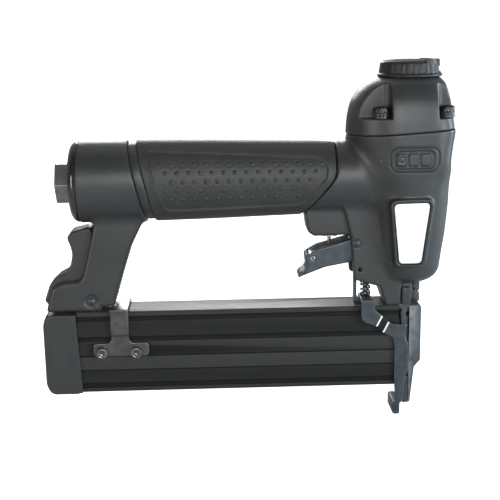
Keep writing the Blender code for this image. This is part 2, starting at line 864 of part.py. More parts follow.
def make_nose():
    guide_outline = [
        (88.8, 10.0),
        (90.6, NOSE_TIP_Z),
        (93.5, NOSE_TIP_Z),
        (93.5, 66.7),
        (81.0, 66.7),
        (81.0, 64.4),
        (88.8, 63.6),
    ]
    guide = prism("nose_guide", guide_outline, -8.6, 8.6, DARK_STEEL)
    cut(
        guide,
        box("blade_groove", (DRIVE_X - 1.1, -2.0, 0.0), (DRIVE_X + 5.0, 2.0, 80.0)),
        box("nail_window", (80.0, -1.1, 20.8), (96.0, 1.1, 57.0)),
    )
    for number, y in enumerate((-5.6, 5.6)):
        cut(guide, rod(f"guide_hole_{number}", 1.8, 60.0, 70.0, (86.0, y, 0), sides=12))
        screw = turned(
            f"nose_screw_{number + 1}",
            [(3.0, 61.4), (3.0, 64.0), (1.5, 64.1), (1.5, 84.0)],
            (86.0, y, 0),
            look=BLACK_STEEL,
            sides=12,
        )
        cut(guide, rod(f"guide_seat_{number}", 3.3, 60.0, 64.6, (86.0, y, 0), sides=10))
        cut(screw, hex_socket(f"nose_socket_{number}", 2.5, 58.0, 63.0, (86.0, y, 0)))
    cover_outline = [
        (93.8, NOSE_TIP_Z),
        (94.9, 6.4),
        (97.1, 27.9),
        (100.6, 32.0, 1.0),
        (100.6, 65.3, 1.0),
        (93.8, 65.3),
    ]
    cover = prism("nose_cover", cover_outline, -8.6, 8.6, DARK_STEEL)
    for number, (y, z) in enumerate(((-5.4, 60.0), (5.4, 60.0), (-5.4, 37.0), (5.4, 37.0))):
        place = (0, y, z)
        cut(cover, rod(f"cover_hole_{number}", 1.8, 80.0, 110.0, place, "X", sides=12))
        cut(cover, rod(f"cover_seat_{number}", 3.2, 98.6, 110.0, place, "X", sides=12))
        cut(guide, rod(f"guide_thread_{number}", 1.8, 86.0, 110.0, place, "X", sides=12))
        screw = turned(
            f"cover_screw_{number + 1}",
            [(1.5, 89.4), (1.5, 98.9), (2.9, 98.9), (2.9, 100.4)],
            place,
            "X",
            BLACK_STEEL,
            sides=12,
        )
        cut(screw, hex_socket(f"cover_socket_{number}", 2.5, 99.5, 104.0, place, "X"))


def make_magazine():
    low_x, high_x = MAGAZINE_X
    low_z, high_z = MAGAZINE_Z
    magazine = box(
        "magazine_body", (low_x, -MAGAZINE_Y, low_z), (high_x, MAGAZINE_Y, high_z), BLACK_ALLOY
    )
    channel = box(
        "magazine_channel", (-130.0, -CHANNEL_Y, CHANNEL_Z[0]), (130.0, CHANNEL_Y, CHANNEL_Z[1])
    )
    cut(magazine, channel)
    front_relief = box("front_relief", (79.5, -8.9, 55.0), (100.0, 8.9, 70.0))
    cut(magazine, front_relief)
    slider = box(
        "magazine_slider", (low_x, -SLIDER_Y, SLIDER_Z[0]), (88.3, SLIDER_Y, SLIDER_Z[1]), BLACK_ALLOY
    )
    cut(
        slider,
        box("pusher_channel", (-95.0, -4.6, 24.0), (100.0, 4.6, 70.0)),
        box("slider_relief", (79.0, -10.0, 57.6), (100.0, 10.0, 70.0)),
        rod("rod_seat", 1.6, -110.0, -90.0, (0, 0, ROD_Z), "X", sides=12),
    )
    cap_outline = [
        (-99.3, 17.0, 1.0),
        (-99.3, 65.3, 1.0),
        (-116.6, 65.3, 2.0),
        (-HALF_LENGTH, 60.0, 12.0),
        (-HALF_LENGTH, 22.5, 12.0),
        (-115.6, 17.0, 4.5),
    ]
    end_cap = prism("magazine_end_cap", cap_outline, -ARM_Y, ARM_Y, CASTING)
    seat = (0, 0, 42.0)
    cut(
        end_cap,
        rod("end_cap_hole", 2.3, -130.0, -90.0, seat, "X", sides=10),
        rod("end_cap_seat", 4.0, -130.0, -108.0, seat, "X", sides=12),
    )
    cut(slider, rod("slider_thread", 2.3, -110.0, -90.0, seat, "X", sides=10))
    end_screw = turned(
        "end_cap_screw",
        [(3.5, -112.0), (3.5, -108.3), (2.0, -108.3), (2.0, -95.6)],
        seat,
        "X",
        BLACK_STEEL,
        sides=12,
    )
    cut(end_screw, hex_socket("end_screw_socket", 3.0, -114.0, -110.0, seat, "X"))

    rod("pusher_rod", 1.3, -98.4, 79.0, (0, 0, ROD_Z), "X", BRIGHT_STEEL, sides=10)
    pusher_outline = [
        (66.0, 40.0, 1.0),
        (72.0, 24.4, 1.0),
        (87.8, 24.4),
        (87.8, 54.5, 1.0),
        (80.0, 60.8, 2.0),
        (66.0, 60.8, 1.0),
    ]
    pusher = prism("pusher", pusher_outline, -4.2, 4.2, BRIGHT_STEEL)
    cut(pusher, rod("pusher_bore", 1.65, 50.0, 100.0, (0, 0, ROD_Z), "X", sides=12))
    coil("pusher_spring", 2.9, 0.4, -94.2, 65.2, 16, (0, 0, ROD_Z), "X")


def make_bracket():
    near = -MAGAZINE_Y - GAP
    plate_outline = [
        (-89.9, 40.0, 1.5),
        (-89.9, 48.0, 1.5),
        (-79.4, 48.6, 1.0),
        (-79.4, 68.0),
        (-69.1, 68.0),
        (-69.1, 48.6, 1.0),
        (-57.9, 48.0, 1.5),
        (-57.9, 40.0, 1.5),
    ]
    bracket = prism("magazine_bracket", plate_outline, near - 1.6, near, DARK_STEEL)
    far = MAGAZINE_Y + GAP
    join(
        bracket,
        box("bracket_strap", (-79.2, near - 1.4, 66.6), (-69.3, far + 1.4, 68.0 - 0.1)),
        box("bracket_hook", (-79.2, far, 58.0), (-69.3, far + 1.6, 67.7)),
        box("bracket_tongue", (-79.0, -5.0, 67.2), (-77.6, 5.0, 69.2)),
    )
    for number, (x, z) in enumerate(BRACKET_SCREWS):
        place = (x, 0, z)
        cut(bracket, rod(f"bracket_hole_{number}", 2.3, -30.0, -5.0, place, "Y", sides=10))
        cut(
            bpy.data.objects["magazine_body"],
            rod(f"magazine_thread_{number}", 2.3, -30.0, -5.0, place, "Y", sides=10),
        )
        seat = near - 1.6 - GAP
        screw = turned(
            f"bracket_screw_{number + 1}",
            [(3.1, seat - 3.9), (3.5, seat - 3.5), (3.5, seat), (2.0, seat), (2.0, -8.3)],
            place,
            "Y",
            BLACK_STEEL,
            sides=12,
        )
        cut(screw, hex_socket(f"bracket_socket_{number}", 3.0, seat - 6.0, seat - 1.8, place, "Y"))


def make_latch():
    outline = [
        (-88.0, 115.9, 1.5),
        (-100.0, 113.0, 3.0),
        (-102.6, 109.8, 2.5),
        (-100.5, 104.0, 8.0),
        (-99.9, 99.7, 6.0),
        (-101.0, 94.0, 6.0),
        (-104.0, 89.3, 3.0),
        (-108.6, 87.0, 3.0),
        (-113.6, 82.5, 5.0),
        (-117.0, 73.0, 1.5),
        (-114.0, 69.0, 1.0),
        (-108.0, 67.6, 1.0),
        (-104.0, 73.0, 3.0),
        (-94.0, 69.4, 2.5),
        (-86.0, 68.9, 3.0),
        (-84.8, 78.0, 4.0),
        (-87.5, 98.0, 20.0),
    ]
    lever = prism("latch_lever", outline, -LATCH_Y + 0.1, LATCH_Y - 0.1, CASTING)
    place = (LATCH_PIN[0], 0, LATCH_PIN[1])
    cut(lever, rod("latch_bore", 1.8, -20, 20, place, "Y", sides=10))
    cut(lever, rod("latch_spring_seat", 3.6, -92.0, -80.0, (0, 0, 104.0), "X", sides=12))
    rod("latch_pin", 1.5, -ARM_Y, ARM_Y, place, "Y", BLACK_STEEL, sides=10)
    coil("latch_spring", 2.7, 0.35, -91.4, -76.5, 6, (0, 0, 104.0), "X")


def make_label():
    label_plate("name_plate", rounded_label(0.0), 0.4, 1.1, WHITE)


clear_scene()
make_body()
make_cap()
make_deflector()
make_drive()
make_rear_cover()
make_grip()
make_trigger()
make_contact_arm()
make_nose()
make_magazine()
make_bracket()
make_latch()
make_label()
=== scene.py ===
"""The looks of the brad nailer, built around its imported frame.

Castings, mouldings and thick steel parts are carved as signed distances on a block of sample
points and meshed with OpenVDB, so that their fillets run together as on a real casting. Turned
parts, springs, screws and the extrusion are made as plain meshes. Lengths are in millimetres.
"""
import json
import math

import bmesh
import bpy
import numpy
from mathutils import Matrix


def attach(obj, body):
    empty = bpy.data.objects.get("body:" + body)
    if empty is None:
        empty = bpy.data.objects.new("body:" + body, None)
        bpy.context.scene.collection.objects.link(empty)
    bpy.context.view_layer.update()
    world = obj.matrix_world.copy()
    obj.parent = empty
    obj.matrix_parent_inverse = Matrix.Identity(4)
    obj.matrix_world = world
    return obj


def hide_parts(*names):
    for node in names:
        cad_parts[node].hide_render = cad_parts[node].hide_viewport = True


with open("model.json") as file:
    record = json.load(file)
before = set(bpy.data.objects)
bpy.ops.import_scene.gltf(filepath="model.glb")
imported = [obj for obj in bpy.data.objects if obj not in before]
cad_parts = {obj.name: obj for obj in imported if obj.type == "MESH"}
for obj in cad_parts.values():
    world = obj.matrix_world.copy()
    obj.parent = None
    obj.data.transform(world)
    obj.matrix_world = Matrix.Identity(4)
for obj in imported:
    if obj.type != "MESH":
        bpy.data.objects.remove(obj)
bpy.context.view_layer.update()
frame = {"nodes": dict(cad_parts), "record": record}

import openvdb
from mathutils import Matrix, Vector

MM = 0.001

# The tool's driving dimensions, as in its design
DRIVE_X = 92.5
SEAM_Z = 166.0
HANDLE_Z = 140.5
CORE_R = 16.5
COVER_R = 23.1
COVER_REAR_X = -94.0
VALVE_X = 47.6
TRIGGER_PIN = (62.0, 103.8)
IDLER_PIN = (37.5, 94.7)
LATCH_PIN = (-89.7, 72.9)
CAP_SCREWS = ((73.8, -20.0), (109.6, -19.6), (73.8, 20.0), (109.6, 19.6))
CAP_SEAT_Z = 175.0
BRACKET_SCREWS = ((-84.8, 42.8), (-65.0, 42.8))
LABEL_LOW = (-21.2, 94.0)
LABEL_HIGH = (-26.6, 130.0)
FOLD_NORMAL = (0.889, 0.0, -0.459)
FOLDS = (40.2, 45.9)
LABEL_SLOPE = (LABEL_HIGH[0] - LABEL_LOW[0]) / (LABEL_HIGH[1] - LABEL_LOW[1])
# The joint between rear cover and grip leans back as it rises
JOINT_LEAN = 0.22
JOINT_COSINE = 0.977
COVER_FRONT_X = -61.5
GRIP_REAR_X = -56.4

# Levels of the housing and its cap: height, centre in X, half size in X and Y, squareness
BODY_LEVELS = (
    (78.0, 92.5, 9.0, 8.0, 2.0),
    (81.5, 92.5, 15.5, 14.5, 2.2),
    (86.0, 93.0, 18.2, 18.0, 2.2),
    (96.0, 92.9, 19.6, 21.2, 2.0),
    (108.0, 92.9, 21.2, 23.4, 2.1),
    (125.6, 92.6, 22.6, 26.0, 2.3),
    (137.0, 91.8, 23.2, 27.3, 2.6),
    (143.0, 90.2, 25.3, 27.8, 2.9),
    (151.0, 88.1, 26.0, 28.0, 4.6),
    (160.0, 87.0, 28.0, 28.0, 4.8),
    (SEAM_Z, 86.4, 29.5, 28.0, 5.0),
    (172.0, 86.2, 29.6, 28.0, 5.0),
)
CAP_LEVELS = (
    (163.0, 86.4, 29.5, 28.0, 5.0),
    (SEAM_Z, 86.4, 29.5, 27.9, 5.0),
    (175.0, 86.1, 28.5, 27.4, 4.6),
    (182.5, 86.6, 27.4, 26.3, 3.9),
    (187.3, 87.6, 25.6, 24.7, 3.2),
    (191.6, 88.9, 23.4, 22.0, 2.8),
    (195.0, 91.0, 20.2, 19.4, 2.4),
    (197.5, DRIVE_X, 14.0, 14.0, 2.0),
)
ROUND_SIDE = 2.1
SEAM_RISE = 0.065


# ---------------------------------------------------------------- signed distances


class Block:
    """Sample points of a box, in millimetres, on a grid whose points are whole steps."""

    def __init__(self, low, high, step):
        self.step = step * 1.0
        self.first = [math.floor(a / self.step) for a in low]
        last = [math.ceil(a / self.step) for a in high]
        runs = [
            numpy.arange(a, b + 1, dtype=numpy.float32) * numpy.float32(self.step)
            for a, b in zip(self.first, last)
        ]
        self.x, self.y, self.z = numpy.meshgrid(*runs, indexing="ij", sparse=True)
        self.shape = tuple(len(run) for run in runs)


def soft_min(a, b, k):
    near = numpy.maximum(k - numpy.abs(a - b), 0.0) / k
    return numpy.minimum(a, b) - near * near * (k * 0.25)


def soft_max(a, b, k):
    near = numpy.maximum(k - numpy.abs(a - b), 0.0) / k
    return numpy.maximum(a, b) + near * near * (k * 0.25)


def without(a, b, k=0.8):
    return soft_max(a, -b, k)


def ramp(value, width):
    """0 below -width, 1 above width, and a smooth step between."""
    t = numpy.clip(value / (2 * width) + 0.5, 0.0, 1.0)
    return t * t * (3 - 2 * t)


def both(a, b, edge):
    """Where two shapes overlap, with a round edge of that radius."""
    p, q = a + edge, b + edge
    corner = numpy.hypot(numpy.maximum(p, 0.0), numpy.maximum(q, 0.0))
    return numpy.minimum(numpy.maximum(p, q), 0.0) + corner - edge


def span(along, low, high):
    return numpy.abs(along - (low + high) / 2) - (high - low) / 2


def rod_field(u, v, along, place, radius, low, high, edge=0.1):
    return both(numpy.hypot(u - place[0], v - place[1]) - radius, span(along, low, high), edge)


def rounded(corners, steps=5):
    """Corner points (a, b) or (a, b, radius) as an outline whose given corners are arcs."""
    points = []
    count = len(corners)
    for i, corner in enumerate(corners):
        here = Vector(corner[:2])
        if len(corner) < 3:
            points.append(tuple(here))
            continue
        back = (Vector(corners[i - 1][:2]) - here).normalized()
        onward = (Vector(corners[(i + 1) % count][:2]) - here).normalized()
        half_angle = back.angle(onward) / 2
        reach = corner[2] / math.tan(half_angle)
        centre = here + (back + onward).normalized() * corner[2] / math.sin(half_angle)
        first = here + back * reach - centre
        turn = first.angle_signed(here + onward * reach - centre)
        for k in range(steps + 1):
            arm = Matrix.Rotation(-turn * k / steps, 2) @ first
            points.append(tuple(centre + arm))
    return points


def outline_field(u, v, corners):
    """Signed distance to a closed outline in two directions."""
    points = rounded(corners)
    best = numpy.float32(1e9)
    inside = numpy.zeros(numpy.broadcast(u, v).shape, dtype=bool)
    for (au, av), (bu, bv) in zip(points, points[1:] + points[:1]):
        eu, ev = bu - au, bv - av
        t = numpy.clip(((u - au) * eu + (v - av) * ev) / (eu * eu + ev * ev), 0.0, 1.0)
        best = numpy.minimum(best, (u - au - eu * t) ** 2 + (v - av - ev * t) ** 2)
        if ev:
            crosses = (av > v) != (bv > v)
            inside ^= crosses & (u < eu * (v - av) / ev + au)
    return numpy.where(inside, -1.0, 1.0).astype(numpy.float32) * numpy.sqrt(best)


def box_field(u, v, low, high, radius):
    """Signed distance to a rounded rectangle."""
    return both(span(u, low[0], high[0]), span(v, low[1], high[1]), radius)


def along_levels(levels, z, column, spread=2.5):
    """One column of a table of levels at every z, with its corners smoothed out."""
    heights = [level[0] for level in levels]
    values = [level[column] for level in levels]
    shifts = numpy.linspace(-spread, spread, 9)
    read = sum(numpy.interp(z + shift, heights, values) for shift in shifts) / len(shifts)
    return read.astype(numpy.float32)


def loft_field(block, levels):
    centre, half_x, half_y, power = (along_levels(levels, block.z, k) for k in (1, 2, 3, 4))
    u = numpy.abs(block.x - centre)
    v = numpy.abs(block.y)
    power = numpy.where(block.x < centre, numpy.minimum(power, ROUND_SIDE), power)
    share = ((u / half_x) ** power + (v / half_y) ** power + 1e-6) ** (1 / power)
    reach = numpy.hypot(u, v)
    return reach - reach / share


def tube_field(block, half_y, half_z):
    """An oval tube along the handle; its half sizes may vary with X."""
    share = numpy.hypot(block.y / half_y, (block.z - HANDLE_Z) / half_z) + 1e-4
    reach = numpy.hypot(block.y, block.z - HANDLE_Z)
    return reach - reach / share


def seam_height(block):
    """The parting plane climbs a little towards the nose."""
    return SEAM_Z + 1.1 + SEAM_RISE * (block.x - 88.0)


def label_coordinates(block):
    """Distance out of the label's leaning plane at each point of a block."""
    plane_y = LABEL_LOW[0] + (block.z - LABEL_LOW[1]) * LABEL_SLOPE
    return (plane_y - block.y) / math.hypot(1.0, LABEL_SLOPE)


def label_outline(margin, radius):
    return [
        (80.7 - margin, 128.4 + margin, radius),
        (100.1 + margin, 128.8 + margin, radius),
        (96.8 + margin, 94.1 - margin, radius),
        (85.1 - margin, 94.1 - margin, radius),
    ]


# ---------------------------------------------------------------- meshes


def place_mesh(name, mesh, body, look, replaced=()):
    """Puts a finished mesh in the scene as a piece that rides on a body."""
    made = bpy.data.objects.new(name, mesh)
    bpy.context.scene.collection.objects.link(made)
    mesh.materials.append(look)
    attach(made, body)
    if replaced:
        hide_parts(*replaced)
    return made


def carve(name, node, sections, slot, look=None, most=120000):
    """Meshes signed distances in place of a node. Sections pair a block with the field on it."""
    grid = openvdb.FloatGrid(3.0)
    for block, field in sections:
        full = numpy.broadcast_to(field, block.shape)
        full = numpy.ascontiguousarray(numpy.clip(full, -3.0, 3.0), dtype=numpy.float32)
        grid.copyFromArray(full, ijk=tuple(block.first), tolerance=0.0)
    points, quads = grid.convertToQuads(0.0)
    scale = sections[0][0].step * MM
    mesh = bpy.data.meshes.new(name)
    mesh.from_pydata((points * scale).tolist(), [], quads.tolist())
    mesh.shade_smooth()
    made = place_mesh(name, mesh, BODY_OF[node], LOOKS[look or slot], (node,))
    if 2 * len(quads) > most:
        thin = made.modifiers.new("thin", "DECIMATE")
        thin.ratio = most / (2 * len(quads))
        made.data = bpy.data.meshes.new_from_object(
            made.evaluated_get(bpy.context.evaluated_depsgraph_get())
        )
        made.modifiers.remove(thin)
        made.data.name = name
        made.data.shade_smooth()
    return made


def piece_from(name, mesh_maker, body, look, replaced=(), sharp=32):
    """A piece whose mesh is made in millimetres by mesh_maker."""
    form = bmesh.new()
    mesh_maker(form)
    bmesh.ops.recalc_face_normals(form, faces=form.faces)
    bmesh.ops.scale(form, vec=(MM, MM, MM), verts=form.verts)
    mesh = bpy.data.meshes.new(name)
    form.to_mesh(mesh)
    form.free()
    mesh.shade_smooth()
    mesh.set_sharp_from_angle(angle=math.radians(sharp))
    return place_mesh(name, mesh, body, look, replaced)


def skin(form, rings, closed=False):
    """Joins equal rings of points with faces, and caps the ends unless it is closed."""
    rows = [[form.verts.new(point) for point in ring] for ring in rings]
    pairs = list(zip(rows, rows[1:]))
    if closed:
        pairs.append((rows[-1], rows[0]))
    for low, high in pairs:
        for i in range(len(low)):
            j = (i + 1) % len(low)
            form.faces.new((low[i], low[j], high[j], high[i]))
    if not closed:
        form.faces.new(rows[0])
        form.faces.new(rows[-1])


def set_on(axis, place, along, u, v):
    """The point at height along an axis through place, and u and v beside it."""
    offset = {"X": (along, u, v), "Y": (u, along, v), "Z": (u, v, along)}[axis]
    return tuple(a + b for a, b in zip(place, offset))


def turned_rings(profile, place, axis, sides=48):
    """Rings for (radius, height) or (radius, height, shape) points. A hexagon keeps its angles."""
    rings = []
    for point in profile:
        radius, along = point[:2]
        shape = point[2] if len(point) > 2 else "round"
        ring = []
        for i in range(sides):
            angle = 2 * math.pi * i / sides
            reach = radius
            if shape == "hexagon":
                part = (angle + math.pi / 6) % (math.pi / 3) - math.pi / 6
                reach = radius * math.cos(math.pi / 6) / math.cos(part)
            if shape == "knurled":
                reach = radius - (0.14 if i % 2 else 0.0)
            ring.append(set_on(axis, place, along, reach * math.cos(angle), reach * math.sin(angle)))
        rings.append(ring)
    return rings


def turned(name, profile, place, axis, body, look, replaced=(), closed=False, sides=48):
    return piece_from(
        name,
        lambda form: skin(form, turned_rings(profile, place, axis, sides), closed),
        body,
        look,
        replaced,
    )


def ring_profile(radius, thickness, height, points=12):
    turns = [2 * math.pi * k / points for k in range(points)]
    return [(radius + thickness * math.cos(t), height + thickness * math.sin(t)) for t in turns]


def o_ring(node, radius, thickness, height, place, axis):
    turned(
        node + "_seal", ring_profile(radius, thickness, height), place, axis, BODY_OF[node],
        LOOKS["seal_rubber"], (node,), closed=True, sides=64,
    )


def coil(node, radius, wire, low, high, turns, place, axis, look):
    """A compression spring of round wire, whose last turn at each end lies flat."""
    steps, round_sides = 26, 8
    count = int(turns * steps)

    def rise(turn):
        """How far along the spring the wire has climbed, from 0 to 1."""
        working = turns - 1.5
        return min(max((turn - 0.75) / working, 0.0), 1.0)

    def make(form):
        rings = []
        for i in range(count + 1):
            turn = i / steps
            angle = 2 * math.pi * turn
            climb = low + wire + (high - low - 2 * wire) * rise(turn)
            climb += 1.6 * wire * (min(turn, 0.75) - 0.75 + max(turn - turns + 0.75, 0.0)) / 0.75
            climb = min(max(climb, low), high)
            ring = []
            for side in range(round_sides):
                tilt = 2 * math.pi * side / round_sides
                reach = radius + wire * math.cos(tilt)
                along = climb + wire * math.sin(tilt)
                ring.append(
                    set_on(axis, place, along, reach * math.cos(angle), reach * math.sin(angle))
                )
            rings.append(ring)
        skin(form, rings)

    piece_from(node + "_wire", make, BODY_OF[node], look, (node,), sharp=60)


def socket_screw(name, node, shank, head, across, place, axis, seat, tip, look):
    """A socket head cap screw: its shank runs from tip to seat, its head beyond the seat."""
    radius, height = head
    way = 1 if seat > tip else -1
    thread = 0.8
    profile = [(shank - 0.5, tip), (shank, tip + way * 0.6)]
    run = int(abs(seat - tip) / thread * 0.6)
    for k in range(run):
        profile.append((shank, tip + way * (0.6 + thread * k)))
        profile.append((shank - 0.25, tip + way * (0.6 + thread * (k + 0.5))))
    top = seat + way * height
    profile += [
        (shank, tip + way * (0.6 + thread * run)),
        (shank, seat),
        (radius - 0.15, seat),
        (radius, seat + way * 0.2),
        (radius, seat + way * height * 0.32),
        (radius, seat + way * height * 0.34, "knurled"),
        (radius, top - way * 0.75, "knurled"),
        (radius - 0.2, top - way * 0.5),
        (radius - 0.55, top - way * 0.08),
        (radius - 0.8, top),
        (across / 2 + 0.55, top),
        (across / math.sqrt(3) + 0.12, top - way * 0.25, "hexagon"),
        (across / math.sqrt(3), top - way * 0.5, "hexagon"),
        (across / math.sqrt(3), top - way * height * 0.55, "hexagon"),
        (across / 4, top - way * height * 0.66),
    ]
    turned(name, profile, place, axis, BODY_OF[node], look, (node,), sides=72)


# ---------------------------------------------------------------- materials


class Look:
    """A node material built step by step around one Principled shader."""

    def __init__(self, name, roughness, metallic=0.0, coat=0.0, coat_roughness=0.1, level=0.5):
        self.material = bpy.data.materials.new(name)
        self.material.use_nodes = True
        self.tree = self.material.node_tree
        self.shader = self.tree.nodes["Principled BSDF"]
        self.shader.inputs["Roughness"].default_value = roughness
        self.shader.inputs["Metallic"].default_value = metallic
        self.shader.inputs["Coat Weight"].default_value = coat
        self.shader.inputs["Coat Roughness"].default_value = coat_roughness
        self.shader.inputs["Specular IOR Level"].default_value = level
        self.place = self.add("ShaderNodeTexCoord").outputs["Object"]
        self.height = None

    def add(self, kind, **values):
        node = self.tree.nodes.new(kind)
        for name, value in values.items():
            setattr(node, name, value)
        return node

    def link(self, source, target):
        self.tree.links.new(source, target)

    def stretched(self, x, y, z):
        """Object coordinates scaled by different amounts, for brushed and drawn surfaces."""
        mapping = self.add("ShaderNodeMapping")
        mapping.inputs["Scale"].default_value = (x, y, z)
        self.link(self.place, mapping.inputs["Vector"])
        return mapping.outputs["Vector"]

    def noise(self, size, detail=3.0, roughness=0.55, place=None):
        """Noise whose blobs are about size millimetres across."""
        node = self.add("ShaderNodeTexNoise")
        node.inputs["Scale"].default_value = 1.0 / (size * MM)
        node.inputs["Detail"].default_value = detail
        node.inputs["Roughness"].default_value = roughness
        self.link(place or self.place, node.inputs["Vector"])
        return node.outputs["Fac"]

    def range(self, value, low, high, to_low, to_high):
        node = self.add("ShaderNodeMapRange", interpolation_type="SMOOTHSTEP")
        self.link(value, node.inputs["Value"])
        for name, number in zip(("From Min", "From Max", "To Min", "To Max"), (low, high, to_low, to_high)):
            node.inputs[name].default_value = number
        return node.outputs["Result"]

    def edges(self, low=0.53, high=0.6):
        """1 on outward edges and 0 on flats."""
        return self.range(self.add("ShaderNodeNewGeometry").outputs["Pointiness"], low, high, 0.0, 1.0)

    def painted_shade_in_hollows(self, low=0.4, high=0.475):
        """1 in grooves and inward corners, and 0 on flats; the mask for the painted shade that darkens
        hollows.
        """
        return self.range(self.add("ShaderNodeNewGeometry").outputs["Pointiness"], low, high, 0.9, 0.0)

    def near(self, value, place, within):
        """1 where a value in metres is within some millimetres of a place."""
        node = self.add("ShaderNodeMath", operation="COMPARE")
        self.link(value, node.inputs[0])
        node.inputs[1].default_value = place * MM
        node.inputs[2].default_value = within * MM
        return node.outputs["Value"]

    def times(self, a, b):
        node = self.add("ShaderNodeMath", operation="MULTIPLY")
        for socket, value in zip(node.inputs, (a, b)):
            if isinstance(value, float):
                socket.default_value = value
            else:
                self.link(value, socket)
        return node.outputs["Value"]

    def mix(self, factor, a, b):
        node = self.add("ShaderNodeMix", data_type="RGBA")
        self.link(factor, node.inputs["Factor"])
        for socket, value in ((node.inputs[6], a), (node.inputs[7], b)):
            if isinstance(value, tuple):
                socket.default_value = (*value, 1.0)
            else:
                self.link(value, socket)
        return node.outputs[2]

    def colour(self, value):
        self.link(value, self.shader.inputs["Base Color"])

    def roughness(self, value):
        self.link(value, self.shader.inputs["Roughness"])

    def bump(self, value, strength, distance):
        """Adds a bump of that depth in millimetres over what is already there."""
        node = self.add("ShaderNodeBump")
        node.inputs["Strength"].default_value = strength
        node.inputs["Distance"].default_value = distance * MM
        self.link(value, node.inputs["Height"])
        if self.height is not None:
            self.link(self.height, node.inputs["Normal"])
        self.height = node.outputs["Normal"]
        self.link(self.height, self.shader.inputs["Normal"])


def grey(level, blue=0.0):
    return (level * (1 - blue), level, level * (1 + blue))


def casting_look(name="cast_charcoal", base=0.022, level=0.5):
    """Die-cast alloy under a satin charcoal coat with a fine grain."""
    look = Look(name, 0.5, level=level)
    patches = look.noise(18.0, 2.0)
    grain = look.noise(0.6, 3.0, 0.7)
    patchy = look.range(patches, 0.3, 0.7, 0.0, 1.0)
    tone = look.mix(patchy, grey(base, 0.02), grey(base * 1.3, 0.05))
    tone = look.mix(look.range(grain, 0.52, 0.68, 0.0, 0.55), tone, grey(base * 2.5, 0.04))
    edge_wear_and_highlight = look.times(look.edges(0.54, 0.64), look.range(look.noise(6.0), 0.42, 0.62, 0.0, 0.6))
    tone = look.mix(edge_wear_and_highlight, tone, grey(0.17, 0.03))
    # Painted shade: grooves and inward corners are darkened to near black.
    look.colour(look.mix(look.painted_shade_in_hollows(), tone, grey(0.006)))
    look.roughness(look.range(grain, 0.3, 0.7, 0.34, 0.5))
    look.bump(grain, 0.8, 0.07)
    look.bump(look.noise(2.2, 2.0), 0.25, 0.06)
    return look.material


def grip_look():
    """Matt black rubber with a fine spark-eroded texture, a little dusty."""
    look = Look("grip_rubber", 0.62, level=0.4)
    dust = look.range(look.noise(9.0, 4.0), 0.4, 0.75, 0.0, 1.0)
    grain = look.noise(0.35, 3.0, 0.7)
    tone = look.mix(dust, grey(0.024), grey(0.03))
    tone = look.mix(look.range(grain, 0.55, 0.7, 0.0, 0.5), tone, grey(0.065))
    # Painted shade: the grip's grooves and inward corners are darkened to near black.
    look.colour(look.mix(look.painted_shade_in_hollows(), tone, grey(0.006)))
    look.roughness(look.range(grain, 0.3, 0.7, 0.42, 0.6))
    look.bump(grain, 0.45, 0.05)
    return look.material


def seal_look():
    look = Look("seal_rubber", 0.45)
    grain = look.noise(0.8)
    look.colour(look.mix(grain, grey(0.012), grey(0.03)))
    look.bump(grain, 0.2, 0.03)
    return look.material


def magazine_look():
    """Black anodised extrusion with faint drawing lines along its length; its upward faces are painted
    lighter as if lit from above.
    """
    look = Look("magazine_black", 0.4, level=0.13)
    lines = look.noise(0.5, 2.0, 0.6, look.stretched(0.02, 1.0, 1.0))
    scuffs = look.range(look.noise(2.5, 5.0, 0.75), 0.6, 0.78, 0.0, 1.0)
    tone = look.mix(lines, grey(0.006), grey(0.011))
    tone = look.mix(look.times(scuffs, 0.4), tone, grey(0.04))
    # Painted light: faces that point up are lightened, as if lit from above.
    facing = look.add("ShaderNodeSeparateXYZ")
    look.link(look.add("ShaderNodeNewGeometry").outputs["Normal"], facing.inputs["Vector"])
    tone = look.mix(look.range(facing.outputs["Z"], 0.8, 0.98, 0.0, 1.0), tone, grey(0.055))
    look.colour(look.mix(look.times(look.edges(0.52, 0.56), 0.3), tone, grey(0.1)))
    look.roughness(look.range(lines, 0.3, 0.7, 0.34, 0.48))
    look.bump(lines, 0.3, 0.03)
    return look.material


def steel_look(name, base, roughness, edge_wear_and_highlight, metallic=0.85, blue=0.06):
    """Hardened steel with short scuffs and edges made bright by wear."""
    look = Look(name, roughness, metallic=metallic)
    grain = look.noise(0.6, 3.0, 0.7)
    clouds = look.noise(5.0, 3.0)
    scratches = look.noise(0.35, 2.0, 0.6, look.stretched(0.35, 1.0, 0.12))
    tone = look.mix(look.range(clouds, 0.3, 0.7, 0.0, 1.0), grey(base, blue), grey(base * 1.45, blue))
    tone = look.mix(look.range(scratches, 0.6, 0.74, 0.0, 0.5), tone, grey(base * 2.2, blue))
    edge = look.times(look.edges(0.52, 0.6), look.range(clouds, 0.25, 0.6, 0.35, 1.0))
    look.colour(look.mix(edge, tone, grey(edge_wear_and_highlight, blue / 2)))
    look.roughness(look.range(grain, 0.3, 0.7, roughness - 0.08, roughness + 0.1))
    look.bump(grain, 0.25, 0.03)
    look.bump(scratches, 0.15, 0.02)
    return look.material


